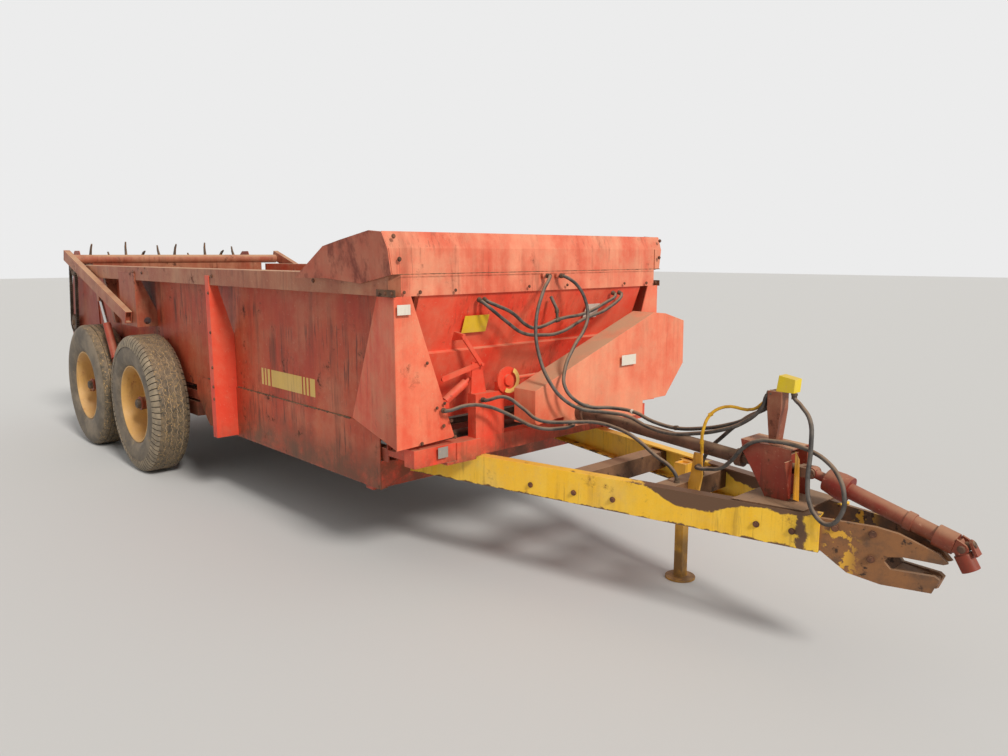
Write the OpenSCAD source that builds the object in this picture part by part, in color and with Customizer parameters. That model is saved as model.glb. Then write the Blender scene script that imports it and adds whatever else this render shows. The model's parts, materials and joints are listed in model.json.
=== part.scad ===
// Tandem-axle manure spreader, pulled by a tractor and driven by its power shaft.
// Millimetres. X points forward to the hitch, Y to the machine's left, Z up from the ground.
// Inside the modules X is measured from the front face of the box; placed() moves it all to
// the origin, which is below the middle of the overall length.

/* [Box] */
// Inside width of the load box
box_w = 1648; // [1400:4:1900]
// Length from the front rail's face to the rear edge of the side walls
box_len = 4890; // [4700:10:5200]
// Thickness of the wall sheets
wall_t = 6; // [4:1:10]
// Height of the floor's top above the ground
floor_z = 740; // [720:5:760]
// Thickness of the floor boards
floor_t = 20; // [15:1:30]
// Height of the underside of the top rail
rail_z = 1430; // [1380:5:1500]
// Height of the top rail's section
rail_h = 100; // [80:5:130]
// Width of the top rail's section
rail_w = 145; // [130:5:170]
// Wall of the top rail's tube
rail_t = 5; // [4:1:8]
// Height of the lap between the wall sheet and the skirt
seam_z = 765; // [750:5:800]
// Height of the skirt's lower edge
skirt_z = 435; // [400:5:500]
// Distance from the front face to the skirt's front edge
skirt_front = 350; // [300:10:450]
// Distance from the front face to the skirt's rear end
skirt_rear = 2600; // [2400:10:2650]
// Lean of the front wall from upright, in degrees
front_lean = 21; // [15:1:25]

/* [Hood] */
// Height of the upright band above the rail
hood_h = 115; // [90:5:140]
// Height of the folded band above the fold
hood_fold_h = 75; // [50:5:100]
// Lean of the folded band towards the box
hood_lean = 30; // [10:5:40]
// Thickness of the hood's sheet
hood_t = 5; // [4:1:8]
// Length of the side wings along the rail
wing_len = 824; // [600:4:1000]
// Outward flare of the wings in degrees
wing_flare = 8; // [4:1:14]

/* [Running gear] */
// Radius of the tyres
tyre_r = 515; // [480:5:550]
// Width of the tyres
tyre_w = 265; // [220:5:300]
// Radius of the rim's seat
rim_r = 290; // [260:5:310]
// Distance from the front face to the front wheels' axle
front_axle_x = 3220; // [3200:5:3260]
// Distance between the two wheels on a side
wheelbase = 1200; // [1120:10:1240]
// Running gap between the tyres and the wall sheets
tyre_gap = 25; // [20:1:35]
// Height of the walking beam's section
beam_h = 100; // [80:5:110]
// Radius of the walking beam's pivot shaft
pivot_r = 35; // [30:1:40]

/* [Tongue] */
// Height of the tongue channels' top
tongue_z = 620; // [610:1:625]
// Depth of the tongue channels
tongue_h = 150; // [130:5:170]
// Flange width of the tongue channels
tongue_b = 55; // [45:5:70]
// Sheet thickness of the tongue channels
tongue_t = 8; // [6:1:10]
// Distance of a channel's outer face from the middle, at the box's front face
tongue_half = 486; // [460:2:520]
// Angle of each channel to the middle line
tongue_angle = 12.5; // [12:0.1:13]
// Forward end of the channels
tongue_front = 1600; // [1550:10:1650]
// Length that the channels run back under the box
tongue_back = 520; // [400:20:700]
// Thickness of the hitch plates
hitch_t = 18; // [14:1:20]
// Radius of the hitch pin's hole
hitch_pin_r = 17; // [14:0.5:20]
// Forward place of the hitch pin's hole
hitch_x = 1955; // [1940:5:1965]

/* [Drive] */
// Forward place of the driveline's universal joint
joint_x = 1500; // [1480:5:1520]
// Height of the driveline's universal joint
joint_z = 747; // [740:1:760]
// Drop of the driveline below level, in degrees
drive_drop = 16; // [14:0.5:17]
// Length of the driveline from joint to joint
drive_len = 570; // [555:5:585]
// Radius of the driveline's tube
drive_r = 31; // [26:1:36]
// Radius of the splined bore in the front yoke
spline_r = 17.5; // [15:0.5:20]

/* [Jack] */
// Forward place of the jack
jack_x = 740; // [700:10:800]
// Place of the jack left of the middle
jack_y = 222; // [200:1:223]
// Half width of the jack's square leg
jack_half = 24; // [20:1:28]

/* [Beaters] */
// Distance from the front face to the upper beater's shaft
upper_x = 5360; // [5350:5:5370]
// Height of the upper beater's shaft
upper_z = 1500; // [1490:5:1510]
// Distance from the front face to the lower beater's shaft
lower_x = 5455; // [5450:1:5465]
// Height of the lower beater's shaft
lower_z = 980; // [970:5:990]
// Radius to the tines' tips
tine_r = 252; // [240:2:256]
// Radius of the beaters' tubes
beater_tube_r = 55; // [45:5:65]
// Number of tines on a beater
tine_count = 14; // [10:1:16]
// Rearmost edge of the beaters' side plates
rear_x = 5740; // [5730:5:5780]
// Thickness of the beaters' side plates
plate_t = 8; // [6:1:12]

/* [End gate] */
// Distance from the front face to the gate's front side
gate_x = 4960; // [4940:5:4970]
// Thickness of the gate's panel
gate_t = 40; // [30:1:45]
// Top of the gate's panel
gate_top = 1560; // [1545:5:1570]
// Radius of the gate's rounded top beam
gate_beam_r = 42; // [36:1:44]
// Distance of the gate's pivot behind the front axle
pivot_behind = 310; // [280:5:330]
// Height of the gate's pivot
gate_pivot_z = 1165; // [1150:5:1175]
// Height of the lift arms' section
arm_h = 92; // [80:2:96]
// Width of the lift arms' section
arm_w = 50; // [46:2:60]
// Distance of the lift cylinders' lower pins behind the middle of the two axles
cyl_low_behind = 20; // [5:5:35]
// Height of the lift cylinders' lower pins
cyl_low_z = 760; // [750:5:770]
// Distance of the rods' upper pins behind the gate's pivot
cyl_top_behind = 600; // [580:5:610]
// Height of the rods' upper pins
cyl_top_z = 1262; // [1256:2:1264]
// Outer radius of the lift cylinders' barrels
cyl_r = 30; // [24:1:31]
// Length of a barrel from its lower pin
barrel_len = 350; // [340:5:360]
// Radius of the lift cylinders' rods
rod_r = 16; // [12:1:18]
// Radius of the lower pins
cyl_pin_r = 13; // [10:1:14]
// Radius of the upper pins
arm_pin_r = 11; // [9:1:12]

/* [Hidden] */
$fn = 48;

clear = 5;            // least gap between pieces that move past each other
seat = 0.3;           // gap between a moving piece and what guides it
run_gap = 0.05;       // radial clearance of a shaft in its bore

red = "indianred";
dull_red = "firebrick";
yellow = "goldenrod";
steel = "dimgray";

wall_in = box_w / 2;
wall_out = wall_in + wall_t;
rail_out = wall_out + rail_w;
rail_top = rail_z + rail_h;
floor_low = floor_z - floor_t;
wheel_in = wall_out + tyre_gap;
rear_axle_x = front_axle_x + wheelbase;
pivot_x = front_axle_x + wheelbase / 2;
gate_pivot_x = front_axle_x + pivot_behind;
cyl_low_x = pivot_x + cyl_low_behind;
cyl_top_x = gate_pivot_x + cyl_top_behind;
axle_z = tyre_r;

// The overall ends, and the shift that puts the origin midway between them.
yoke_drop = 60;
yoke_len = 92;
yoke_r = 32;
front_end = joint_x + drive_len * cos(drive_drop) + yoke_len * cos(yoke_drop)
    + yoke_r * sin(yoke_drop);
shift_x = (rear_x - front_end) / 2;

module placed() {
    translate([shift_x, 0, 0]) children();
}

// An outline of [x, z] points, made a plate from y0 to y1.
module side_plate(points, y0, y1) {
    translate([0, y1, 0]) rotate([90, 0, 0]) linear_extrude(y1 - y0) polygon(points);
}

// An outline of [y, z] points, made a plate from x0 to x1.
module front_plate(points, x0, x1) {
    translate([x0, 0, 0]) rotate([90, 0, 90]) linear_extrude(x1 - x0) polygon(points);
}

// A block between two corners.
module block(low, high) {
    translate(low) cube([high[0] - low[0], high[1] - low[1], high[2] - low[2]]);
}

// A round bar along Y.
module cross_bar(x, z, r, y0, y1) {
    translate([x, y1, z]) rotate([90, 0, 0]) cylinder(r = r, h = y1 - y0);
}

// A flat bar across the machine from p to q, both [y, z], with round ends
module front_bar(p, q, w, x0, x1) {
    translate([x0, 0, 0]) rotate([90, 0, 90]) linear_extrude(x1 - x0) {
        translate(p) circle(d = w);
        translate(q) circle(d = w);
        translate(p) rotate([0, 0, atan2(q[1] - p[1], q[0] - p[0])])
            translate([0, 0.2 - w / 2]) square([norm(q - p), w - 0.4]);
    }
}

// A piece on the right side is the mirror of the one on the left.
module on_side(side) {
    if (side > 0) children();
    else mirror([0, 1, 0]) children();
}

// Sills and cross members

sill_h = 65;
cross_h = 70;
cross_low = floor_low - cross_h;
sill_low = cross_low - sill_h;
sill_out = wall_in - 4;
sill_w = 60;
cross_count = 9;
cross_w = 60;
cross_t = 7;
cross_pitch = (box_len - 600) / (cross_count - 1);

module sills() {
    placed() color(dull_red) for (side = [-1, 1])
        on_side(side) difference() {
            block([-box_len, sill_out - sill_w, sill_low], [-300, sill_out, cross_low]);
            block([-box_len - 1, sill_out - sill_w - 1, sill_low + 8],
                  [-299, sill_out - 8, cross_low - 8]);
        }
}

module cross_members() {
    placed() color(dull_red) for (i = [0 : cross_count - 1]) {
        x = -300 - i * cross_pitch;
        difference() {
            block([x - cross_w, -wall_in, cross_low], [x, wall_in, floor_low]);
            block([x - cross_w - 1, -wall_in - 1, cross_low + cross_t],
                  [x - cross_t, wall_in + 1, floor_low - cross_t]);
        }
    }
}

plank_count = 11;
plank_gap = 2;
plank_w = (2 * wall_in + plank_gap) / plank_count - plank_gap;

module floor_boards() {
    placed() color("sienna") for (i = [0 : plank_count - 1]) {
        y = -wall_in + i * (plank_w + plank_gap);
        block([-apron_rear + loop_r + clear, y, floor_low], [-floor_front, y + plank_w, floor_z]);
    }
}

// Front wall: an upper sheet and a lower sheet that laps in front of it

lap_z = 1152;
lap_out = 22;
front_low = floor_z + 42;
function front_face(z) = -12 - (rail_z - z) * tan(front_lean);
floor_front = -front_face(floor_z) + 30;

module front_wall() {
    placed() color(red) difference() {
        side_plate([[front_face(rail_z), rail_z],
                    [front_face(lap_z), lap_z],
                    [front_face(lap_z) + lap_out, lap_z - 8],
                    [front_face(front_low) + lap_out, front_low],
                    [front_face(front_low) + lap_out - wall_t, front_low],
                    [front_face(lap_z) - wall_t - 2, lap_z - 8],
                    [front_face(rail_z) - wall_t, rail_z]],
                   -wall_in, wall_in);
    }
}

// Side walls with their skirts

module side_wall(side) {
    on_side(side) {
        side_plate([[-40, rail_z], [-rail_w, rail_z], [-rail_w, rail_top],
                    [-box_len, rail_top], [-box_len, floor_low - 20],
                    [-skirt_front, floor_low - 20], [-skirt_front, seam_z + 60]],
                   wall_in, wall_out);
        side_plate([[-skirt_front, seam_z], [-skirt_rear - 60, seam_z],
                    [-skirt_rear - 60, 640], [-skirt_rear + 100, skirt_z + 30],
                    [-skirt_rear + 140, skirt_z], [-skirt_front, skirt_z]],
                   wall_out - 1, wall_out + wall_t);
        for (span = [[-skirt_rear + 140, -tongue_back], [-tongue_back + 80, -skirt_front - wall_t]])
            block([span[0], wall_out - skirt_fold, skirt_z], [span[1], wall_out, skirt_z + wall_t]);
    }
}

skirt_fold = 40;

module side_walls() {
    placed() color(red) for (side = [-1, 1]) side_wall(side);
}

// Top rail: tubes along both sides and across the front, mitred at the corners

corner_cut = 40;

module rail_side(side) {
    on_side(side) difference() {
        translate([0, 0, rail_z]) linear_extrude(rail_h)
            polygon([[-box_len, wall_out], [-box_len, rail_out], [-corner_cut, rail_out],
                     [0, rail_out - corner_cut], [-rail_w, wall_out]]);
        block([-box_len - 1, wall_out + rail_t, rail_z + rail_t],
              [-rail_w - 20, rail_out - rail_t, rail_top - rail_t]);
    }
}

module side_rails() {
    placed() color("brown") for (side = [-1, 1]) rail_side(side);
}

// Bulkhead glands of the two long hoses on the front rail, as [y, z]
glands = [[-30, rail_top - 23], [73, rail_top - 25]];
gland_r = 15;
gland_len = 18;

module top_rail_front() {
    placed() color(red) {
        translate([0, 0, rail_z]) linear_extrude(rail_h)
            polygon([[0, -rail_out + corner_cut], [0, rail_out - corner_cut],
                     [-rail_w, wall_out], [-rail_w, -wall_out]]);
        for (g = glands) translate([-1, g[0], g[1]]) rotate([0, 90, 0])
            cylinder(r = gland_r, h = gland_len + 1);
    }
}

// Hood over the front rail: a folded front sheet between two creased wings, which flare outwards
// and hang a little over the rail's outer face

hood_fold_z = rail_top + hood_h;
hood_top_z = hood_fold_z + hood_fold_h;
wing_low = rail_top - 45;
crease_low = [-166, 16];
crease_high = [-368, hood_top_z - wing_low - 28];
wing_bend = 4;
strap_w = 40;
strap_t = 4;

// The wings' distance from the middle at height z
function wing_y(z) = rail_out + seat + (z - wing_low) * tan(wing_flare);

// Outlines as [x, z above the wing's lower edge]
front_wing = [[0, rail_top - wing_low], [0, hood_fold_z - wing_low],
              [-hood_lean, hood_top_z - wing_low], [-132, hood_top_z - wing_low + 8],
              crease_high, crease_low];
rear_wing = [crease_low, crease_high, [-533, hood_top_z - wing_low - 58], [-wing_len, 20],
             [-542, 22], [-258, 0]];

module wing(side) {
    on_side(side) translate([0, wing_y(wing_low), wing_low]) rotate([-wing_flare, 0, 0]) {
        side_plate(front_wing, 0, hood_t);
        translate([crease_low[0], 0, crease_low[1]])
            rotate(-wing_bend, [crease_high[0] - crease_low[0], 0, crease_high[1] - crease_low[1]])
            translate([-crease_low[0], 0, -crease_low[1]]) side_plate(rear_wing, 0, hood_t);
    }
}

module hood() {
    placed() color(red) {
        intersection() {
            side_plate([[0, rail_top], [0, hood_fold_z], [-hood_lean, hood_top_z],
                        [-hood_lean - hood_t, hood_top_z], [-hood_t, hood_fold_z],
                        [-hood_t, rail_top]],
                       -2 * rail_out, 2 * rail_out);
            front_plate([for (p = [[-1, rail_top], [1, rail_top], [1, hood_top_z], [-1, hood_top_z]])
                         [p[0] * (wing_y(p[1]) + 1), p[1]]], -box_len, 1);
        }
        for (side = [-1, 1]) {
            wing(side);
            on_side(side)
                front_plate([[rail_out - strap_w, rail_top], [wing_y(rail_top), rail_top],
                             [wing_y(hood_fold_z), hood_fold_z], [rail_out - strap_w, hood_fold_z]],
                            -1, strap_t);
        }
    }
}

// Stakes between the rail and the skirt

stake_x = 2000;
stake_w = 60;
stake_t = 6;

module stake(side) {
    on_side(side) {
        front_plate([[rail_out - 50, rail_z], [rail_out, rail_z], [rail_out, skirt_z + 10],
                     [wall_out + wall_t, skirt_z + 10], [wall_out + wall_t, seam_z],
                     [wall_out, seam_z], [wall_out, 1110]],
                    -stake_x - stake_t, -stake_x);
        block([-stake_x - stake_w, rail_out - stake_t, skirt_z + 10],
              [-stake_x, rail_out, rail_z]);
        block([-stake_x - stake_w, rail_out, skirt_z + 10],
              [-stake_x, rail_out + stake_t, rail_z + 60]);
    }
}

module stakes() {
    placed() color(red) {
        difference() {
            for (side = [-1, 1]) stake(side);
            shaft_way();
        }
        shaft_bearing(-stake_x - stake_t);
    }
}

// Corner posts: a web across the front and a web that runs back to the wall

post_low = 725;
post_t = 6;
post_run = 620;

module corner_post(side) {
    on_side(side) {
        front_plate([[rail_out, rail_z], [rail_out - 95, rail_z], [635, post_low + 14],
                     [rail_out, post_low]], -post_t, 0);
        difference() {
            translate([-post_t, rail_out - 1, 0])
                rotate([0, 0, asin((rail_out - wall_out) / post_run)])
                    side_plate([[3, rail_z], [3, post_low], [-post_run, seam_z + 6],
                                [-205, rail_z]], -post_t, 0);
            block([-post_run - 20, 0, 0], [-post_t - 1, wall_out, rail_z + 1]);
        }
    }
}

module corner_posts() {
    placed() color(red) difference() {
        for (side = [-1, 1]) corner_post(side);
        shaft_way();
    }
}

// Front cross beam, with end brackets that reach back to the sills

front_beam_low = tongue_z + seat;
front_beam_top = 709;
front_beam_w = 80;
clamp_t = 10;
tail_z = tongue_z - tongue_h - seat;

module front_beam() {
    placed() color(red) {
        block([-front_beam_w, -rail_out + 95, front_beam_low],
              [0, rail_out - 95, front_beam_top]);
        block([-tongue_back + 5, -sill_out, tail_z - 60], [-tongue_back + 75, sill_out, tail_z]);
        for (side = [-1, 1]) on_side(side) {
            block([-tongue_back + 5, sill_out - 8, tail_z - 1],
                  [-tongue_back + 75, sill_out, sill_low]);
            difference() {
                block([-300, sill_out - sill_w, front_beam_low],
                      [-front_beam_w, sill_out, apron_mid_z + 42]);
                cross_bar(-apron_front, apron_mid_z, axle_r + run_gap, 0, rail_out);
                block([-301, sill_out - sill_w - 1, cross_low], [-apron_front - 45, rail_out, 2000]);
            }
            front_plate([[wall_out - 1, skirt_z], [651, skirt_z + 60], [625, sill_low + 25],
                         [sill_out - sill_w - 5, sill_low + 25], [sill_out - sill_w - 5, sill_low],
                         [wall_out - 1, sill_low]], -skirt_front - wall_t, -skirt_front);
            block([0, tongue_half - 13, front_beam_low], [clamp_t, tongue_half + 142, front_beam_top]);
            block([-front_beam_w, tongue_y(-front_beam_w) + 1, front_beam_low - 14],
                  [clamp_t, tongue_half + 204, front_beam_low]);
        }
    }
}

// Apron: two chain loops with slats, round a shaft at each end of the floor

apron_half = 690;
chain_y = 655;
chain_w = 30;
chain_t = 15;
apron_mid_z = (floor_z + cross_low) / 2;
loop_r = floor_z - apron_mid_z + seat;
apron_front = 190;
apron_rear = box_len - 60;
axle_r = 25;
slat_pitch = 306;
slat_count = floor((apron_rear - apron_front) / slat_pitch);
slat_w = 42;
link_pitch = slat_pitch / 4;
link_gap = 12;
link_step = 5;

module loop_outline(r, len) {
    circle(r = r);
    translate([-len, 0]) circle(r = r);
    translate([-len, -r]) square([len, 2 * r]);
}

module apron() {
    loop_len = apron_rear - apron_front;
    placed() color(steel) {
        for (y = [-chain_y, chain_y])
            translate([-apron_front, y + chain_w / 2, apron_mid_z]) rotate([90, 0, 0])
                linear_extrude(chain_w) difference() {
                    loop_outline(loop_r + chain_t, loop_len);
                    loop_outline(loop_r, loop_len);
                    for (x = [link_pitch : link_pitch : loop_len], z = [-1, 1])
                        translate([-x, z * (loop_r + chain_t)])
                            square([link_gap, 2 * link_step], center = true);
                }
        for (i = [0 : slat_count]) {
            x = -apron_front - 60 - i * slat_pitch;
            if (-x < apron_rear) {
                side_plate([[x - slat_w, floor_z + seat + 2], [x, floor_z + seat + 2],
                            [x - 8, floor_z + seat + 26], [x - slat_w + 8, floor_z + seat + 26]],
                           -apron_half, apron_half);
                side_plate([[x - slat_w, cross_low - seat - 2], [x, cross_low - seat - 2],
                            [x - 6, cross_low - seat - 18], [x - slat_w + 6, cross_low - seat - 18]],
                           -apron_half, apron_half);
            }
        }
    }
}

module apron_shafts() {
    placed() color(steel) for (x = [-apron_front, -apron_rear]) {
        cross_bar(x, apron_mid_z, axle_r, -wall_in, wall_in);
        for (y = [-chain_y, chain_y])
            cross_bar(x, apron_mid_z, loop_r - seat, y - chain_w / 2, y + chain_w / 2);
    }
}

// Feed control in the recess below the front wall; places across the front are [y, z]

post_back = -60;
post_right = -498;
post_left = -306;
post_top = 931;
lever_pin = [-443, 1077];
lever_end = [-675, 1026];
strut_top = [-556, 1221];
disc_at = [-293, 985];
disc_x = 11;
cyl_foot = [-655, 899];
cyl_head = [-510, 985];

module feed_post() {
    placed() color(dull_red) {
        block([post_back, post_right, front_beam_top], [0, post_left, post_top]);
        front_plate([[post_right, post_top - 1], [post_right + 9, lever_pin[1] + 12],
                     [lever_pin[0] + 12, lever_pin[1] + 12], [post_right + 100, post_top - 1]],
                    -42, -34);
        front_bar(lever_end, lever_pin, 26, -35, -25);
        front_bar(strut_top, lever_pin, 22, -26, -16);
        side_plate([[front_face(strut_top[1] + 22), strut_top[1] + 22], [-14, strut_top[1] + 13],
                    [-14, strut_top[1] - 13], [front_face(strut_top[1] - 22), strut_top[1] - 22]],
                   strut_top[0] - 8, strut_top[0] + 8);
        translate([-44, lever_pin[0], lever_pin[1]]) rotate([0, 90, 0]) cylinder(r = 8, h = 40);
    }
}

// The disc sits on a cross rod that the post and a lug on the beam carry
module feed_disc() {
    placed() color(yellow) {
        translate([disc_x - 34, disc_at[0], disc_at[1]]) rotate([0, 90, 0]) {
            cylinder(r = 12, h = 50);
            translate([0, 0, 26]) cylinder(r = 68, h = 10);
            translate([0, 0, 30]) cylinder(r = 28, h = 20);
        }
        cross_bar(disc_x - 26, disc_at[1], 10, disc_at[0] - 5, disc_at[0] + 340);
        block([disc_x - 40, disc_at[0] + 320, front_beam_top],
              [disc_x - 12, disc_at[0] + 345, disc_at[1] + 14]);
        block([disc_x - 40, post_left - 40, post_top], [disc_x - 12, disc_at[0] + 6, disc_at[1] - 8]);
    }
}

module feed_cylinder() {
    rise = atan2(cyl_head[1] - cyl_foot[1], cyl_head[0] - cyl_foot[0]);
    placed() color(dull_red) {
        translate([-66, cyl_foot[0], cyl_foot[1]]) rotate([rise - 90, 0, 0]) {
            translate([0, 0, 16]) cylinder(r = 22, h = norm(cyl_head - cyl_foot) - 16);
            cylinder(r = 10, h = norm(cyl_head - cyl_foot) + 36);
        }
        translate([-82, cyl_foot[0], cyl_foot[1]]) rotate([0, 90, 0]) cylinder(r = 18, h = 32);
        block([-82, -760, cyl_foot[1] - 14], [-post_t - seat, cyl_foot[0] - 6, cyl_foot[1] + 12]);
    }
}

// Chain case that carries the drive from the middle to the left side

shield_front = 250;
shield_back = 100;

module chain_shield() {
    placed() color(red) {
        front_plate([[-330, 960], [610, 1296], [720, 1285], [900, 1235], [905, 985], [740, 806],
                     [-170, 803], [-330, 787]],
                    shield_back, shield_front);
        front_plate([[-120, 744], [527, 728], [527, 807], [-120, 804]],
                    shield_front - 8, shield_front);
        block([-front_beam_w, 200, front_beam_top], [shield_back, 300, 850]);
    }
}

shaft_y = rail_out - 70;
shaft_z = 1120;
shaft_r = 22;
shaft_len = lower_x - 85 - seat;

module side_shaft() {
    placed() color(steel) translate([-shaft_len, shaft_y, shaft_z]) rotate([0, 90, 0])
        cylinder(r = shaft_r, h = shaft_len + shield_back);
}

// The clear hole that the side shaft needs through the pieces on the left
module shaft_way() {
    translate([-shaft_len, shaft_y, shaft_z]) rotate([0, 90, 0])
        cylinder(r = shaft_r + clear, h = shaft_len + shield_back);
}

// A bearing that holds the side shaft behind a web whose rear face is at x
module shaft_bearing(x) {
    translate([x - bearing_w, shaft_y, shaft_z]) rotate([0, 90, 0]) difference() {
        cylinder(r = bearing_r, h = bearing_w);
        translate([0, 0, -1]) cylinder(r = shaft_r + run_gap, h = bearing_w + 2);
    }
}

bearing_r = 45;
bearing_w = 25;

// Tongue: two channels that come together at the hitch

tongue_slope = tan(tongue_angle);
function tongue_y(x) = tongue_half - x * tongue_slope;

module tongue_channel(side) {
    len = (tongue_front + tongue_back) / cos(tongue_angle);
    on_side(side) translate([-tongue_back, tongue_y(-tongue_back), tongue_z - tongue_h])
        rotate([0, 0, -tongue_angle]) difference() {
            block([0, -tongue_b, 0], [len, 0, tongue_h]);
            block([-1, -tongue_b - 1, tongue_t], [len + 1, -tongue_t, tongue_h - tongue_t]);
        }
}

// All that lies outside the left channel's web, with the seat's gap
module beside_web() {
    translate([0, tongue_half, 0]) rotate([0, 0, -tongue_angle])
        block([0, -tongue_t - seat, 0], [2 * tongue_front, tongue_half, 2 * tongue_z]);
}

// Half the free width between the channels' webs
function tongue_inside(x) = tongue_y(x) - (tongue_t + seat) / cos(tongue_angle);

module tongue_channels() {
    placed() color(yellow) for (side = [-1, 1]) tongue_channel(side);
}

strut_x = [450, 860];
strut_w = 90;
strut_low = tongue_z - tongue_h + 40;
strut_top_z = tongue_z - 20;
deck_back = 1255;
deck_front = 1537;
deck_t = 6;

module tongue_deck() {
    placed() color("saddlebrown") {
        for (x = strut_x) translate([0, 0, strut_low]) linear_extrude(strut_top_z - strut_low)
            polygon([for (p = [[x, -1], [x + strut_w, -1], [x + strut_w, 1], [x, 1]])
                     [p[0], p[1] * tongue_inside(p[0])]]);
        translate([0, 0, tongue_z]) linear_extrude(deck_t)
            polygon([for (p = [[deck_back, -1], [deck_front, -1], [deck_front, 1], [deck_back, 1]])
                     [p[0], p[1] * (tongue_y(p[0]) - 10)]]);
    }
}

// Latch lever of the parking jack, on the front face of the forward strut
module latch_lever() {
    x = strut_x[1] + strut_w;
    placed() color(yellow)
        side_plate([[x, strut_low + 20], [x + 50, strut_low + 20], [x + 72, tongue_z + 20],
                    [lever_x + 20, lever_top], [lever_x - 20, lever_top], [x + 12, tongue_z + 20],
                    [x, strut_top_z]], lever_y - 6, lever_y + 6);
}

lever_x = 996;
lever_y = -50;
lever_top = 743;

// Hitch: two side plates with a forward slot, tied by straps that hold the pin

hitch_outline = [[1300, 605], [1800, 611], [1880, 600], [2010, 552], [2045, 522], [2030, 515],
                 [1900, 515], [1850, 505], [1838, 482], [1860, 458], [2005, 465], [2022, 455],
                 [2000, 400], [1830, 393], [1710, 412], [1610, 479], [1300, 479]];

module hitch_plates() {
    placed() color("saddlebrown") difference() {
        union() {
            for (side = [-1, 1]) on_side(side)
                translate([1300, tongue_y(1300) - tongue_t - 0.5, 0])
                    rotate([0, 0, -tongue_angle]) translate([-1300, 0, 0])
                        side_plate(hitch_outline, -hitch_t, 0);
            for (z = [[515, 540], [430, 455]]) translate([0, 0, z[0]])
                linear_extrude(z[1] - z[0])
                    polygon([for (p = [[1850, -1], [1995, -1], [1995, 1], [1850, 1]])
                             [p[0], p[1] * (tongue_y(p[0]) - tongue_t - 6)]]);
        }
        translate([hitch_x, 0, 380]) cylinder(r = hitch_pin_r, h = 200);
    }
}

// Jack at the left channel

jack_out = 34;

module jack_socket() {
    placed() color(yellow) difference() {
        union() {
            block([jack_x - jack_out, jack_y - jack_out, tongue_z - tongue_h - 60],
                  [jack_x + jack_out, jack_y + jack_out, tongue_z - 20]);
            difference() {
                block([jack_x - 50, jack_y + jack_out, tongue_z - tongue_h + tongue_t + 10],
                      [jack_x + 50, tongue_y(jack_x), tongue_z - tongue_t - 10]);
                beside_web();
            }
        }
        translate([jack_x - jack_half - seat, jack_y - jack_half - seat, 0])
            cube([2 * (jack_half + seat), 2 * (jack_half + seat), 2000]);
    }
}

module jack_leg() {
    placed() color(yellow) {
        block([jack_x - jack_half, jack_y - jack_half, 10],
              [jack_x + jack_half, jack_y + jack_half, tongue_z - 30]);
        translate([jack_x, jack_y, 0]) cylinder(r = 75, h = 10);
    }
}

// Drive shaft with its bearing guard

guard_back = 1215;
guard_front = 1440;
guard_half = 75;
guard_t = 6;
guard_low = tongue_z + deck_t;
guard_high = 850;
guard_foot = 1335;

function guard_top(x) = guard_high - 10 * (x - guard_back) / (guard_front - guard_back);

module shaft_guard() {
    placed() color("brown") {
        difference() {
            side_plate([[guard_back, guard_top(guard_back)], [guard_front, guard_top(guard_front)],
                        [guard_front, guard_low], [guard_foot, guard_low], [guard_back + 10, 800]],
                       -guard_half, guard_half);
            side_plate([[guard_back - 20, guard_top(guard_back - 20) - guard_t],
                        [guard_front + 1, guard_top(guard_front + 1) - guard_t],
                        [guard_front + 1, guard_low - 1], [guard_back - 20, guard_low - 1]],
                       -guard_half + guard_t, guard_half - guard_t);
        }
        difference() {
            block([guard_front - 90, -guard_half + guard_t - 1, guard_low],
                  [guard_front - 40, guard_half - guard_t + 1, 800]);
            translate([0, 0, joint_z]) rotate([0, 90, 0]) cylinder(r = 22, h = 2000);
        }
        front_plate([[-guard_half + guard_t, 800], [-guard_half - 55, 800], [-guard_half - 10, 640],
                     [-guard_half + guard_t, 640]], guard_front, guard_front + 6);
    }
}

cross_pin_r = 10;
fork_half = 22;

shaft_in_z = 815;
tube_r = 30;
tube_end = 1180;

module input_shaft() {
    rise = atan2(shaft_in_z - joint_z, tube_end - shield_front);
    placed() color(steel) {
        translate([shield_front, 0, shaft_in_z]) rotate([0, 90, 0]) cylinder(r = 45, h = 40);
        translate([tube_end, 0, joint_z]) rotate([0, rise - 90, 0])
            cylinder(r = tube_r, h = norm([shaft_in_z - joint_z, tube_end - shield_front]) - 12);
        translate([tube_end - 20, 0, joint_z]) rotate([0, 90, 0]) {
            cylinder(r = 38, h = 34);
            cylinder(r = 22 - run_gap, h = joint_x - 54 - tube_end + 20);
        }
        block([joint_x - 56, -fork_half - 11, joint_z - 20],
              [joint_x - 36, fork_half + 11, joint_z + 20]);
        for (side = [-1, 1]) on_side(side) {
            block([joint_x - 40, fork_half, joint_z - 20], [joint_x, fork_half + 11, joint_z + 20]);
            cross_bar(joint_x, joint_z, 20, fork_half, fork_half + 11);
        }
        cross_bar(joint_x, joint_z, cross_pin_r, -fork_half - 1, fork_half + 1);
    }
}

// The telescoping driveline, hinged at its universal joint

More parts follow.
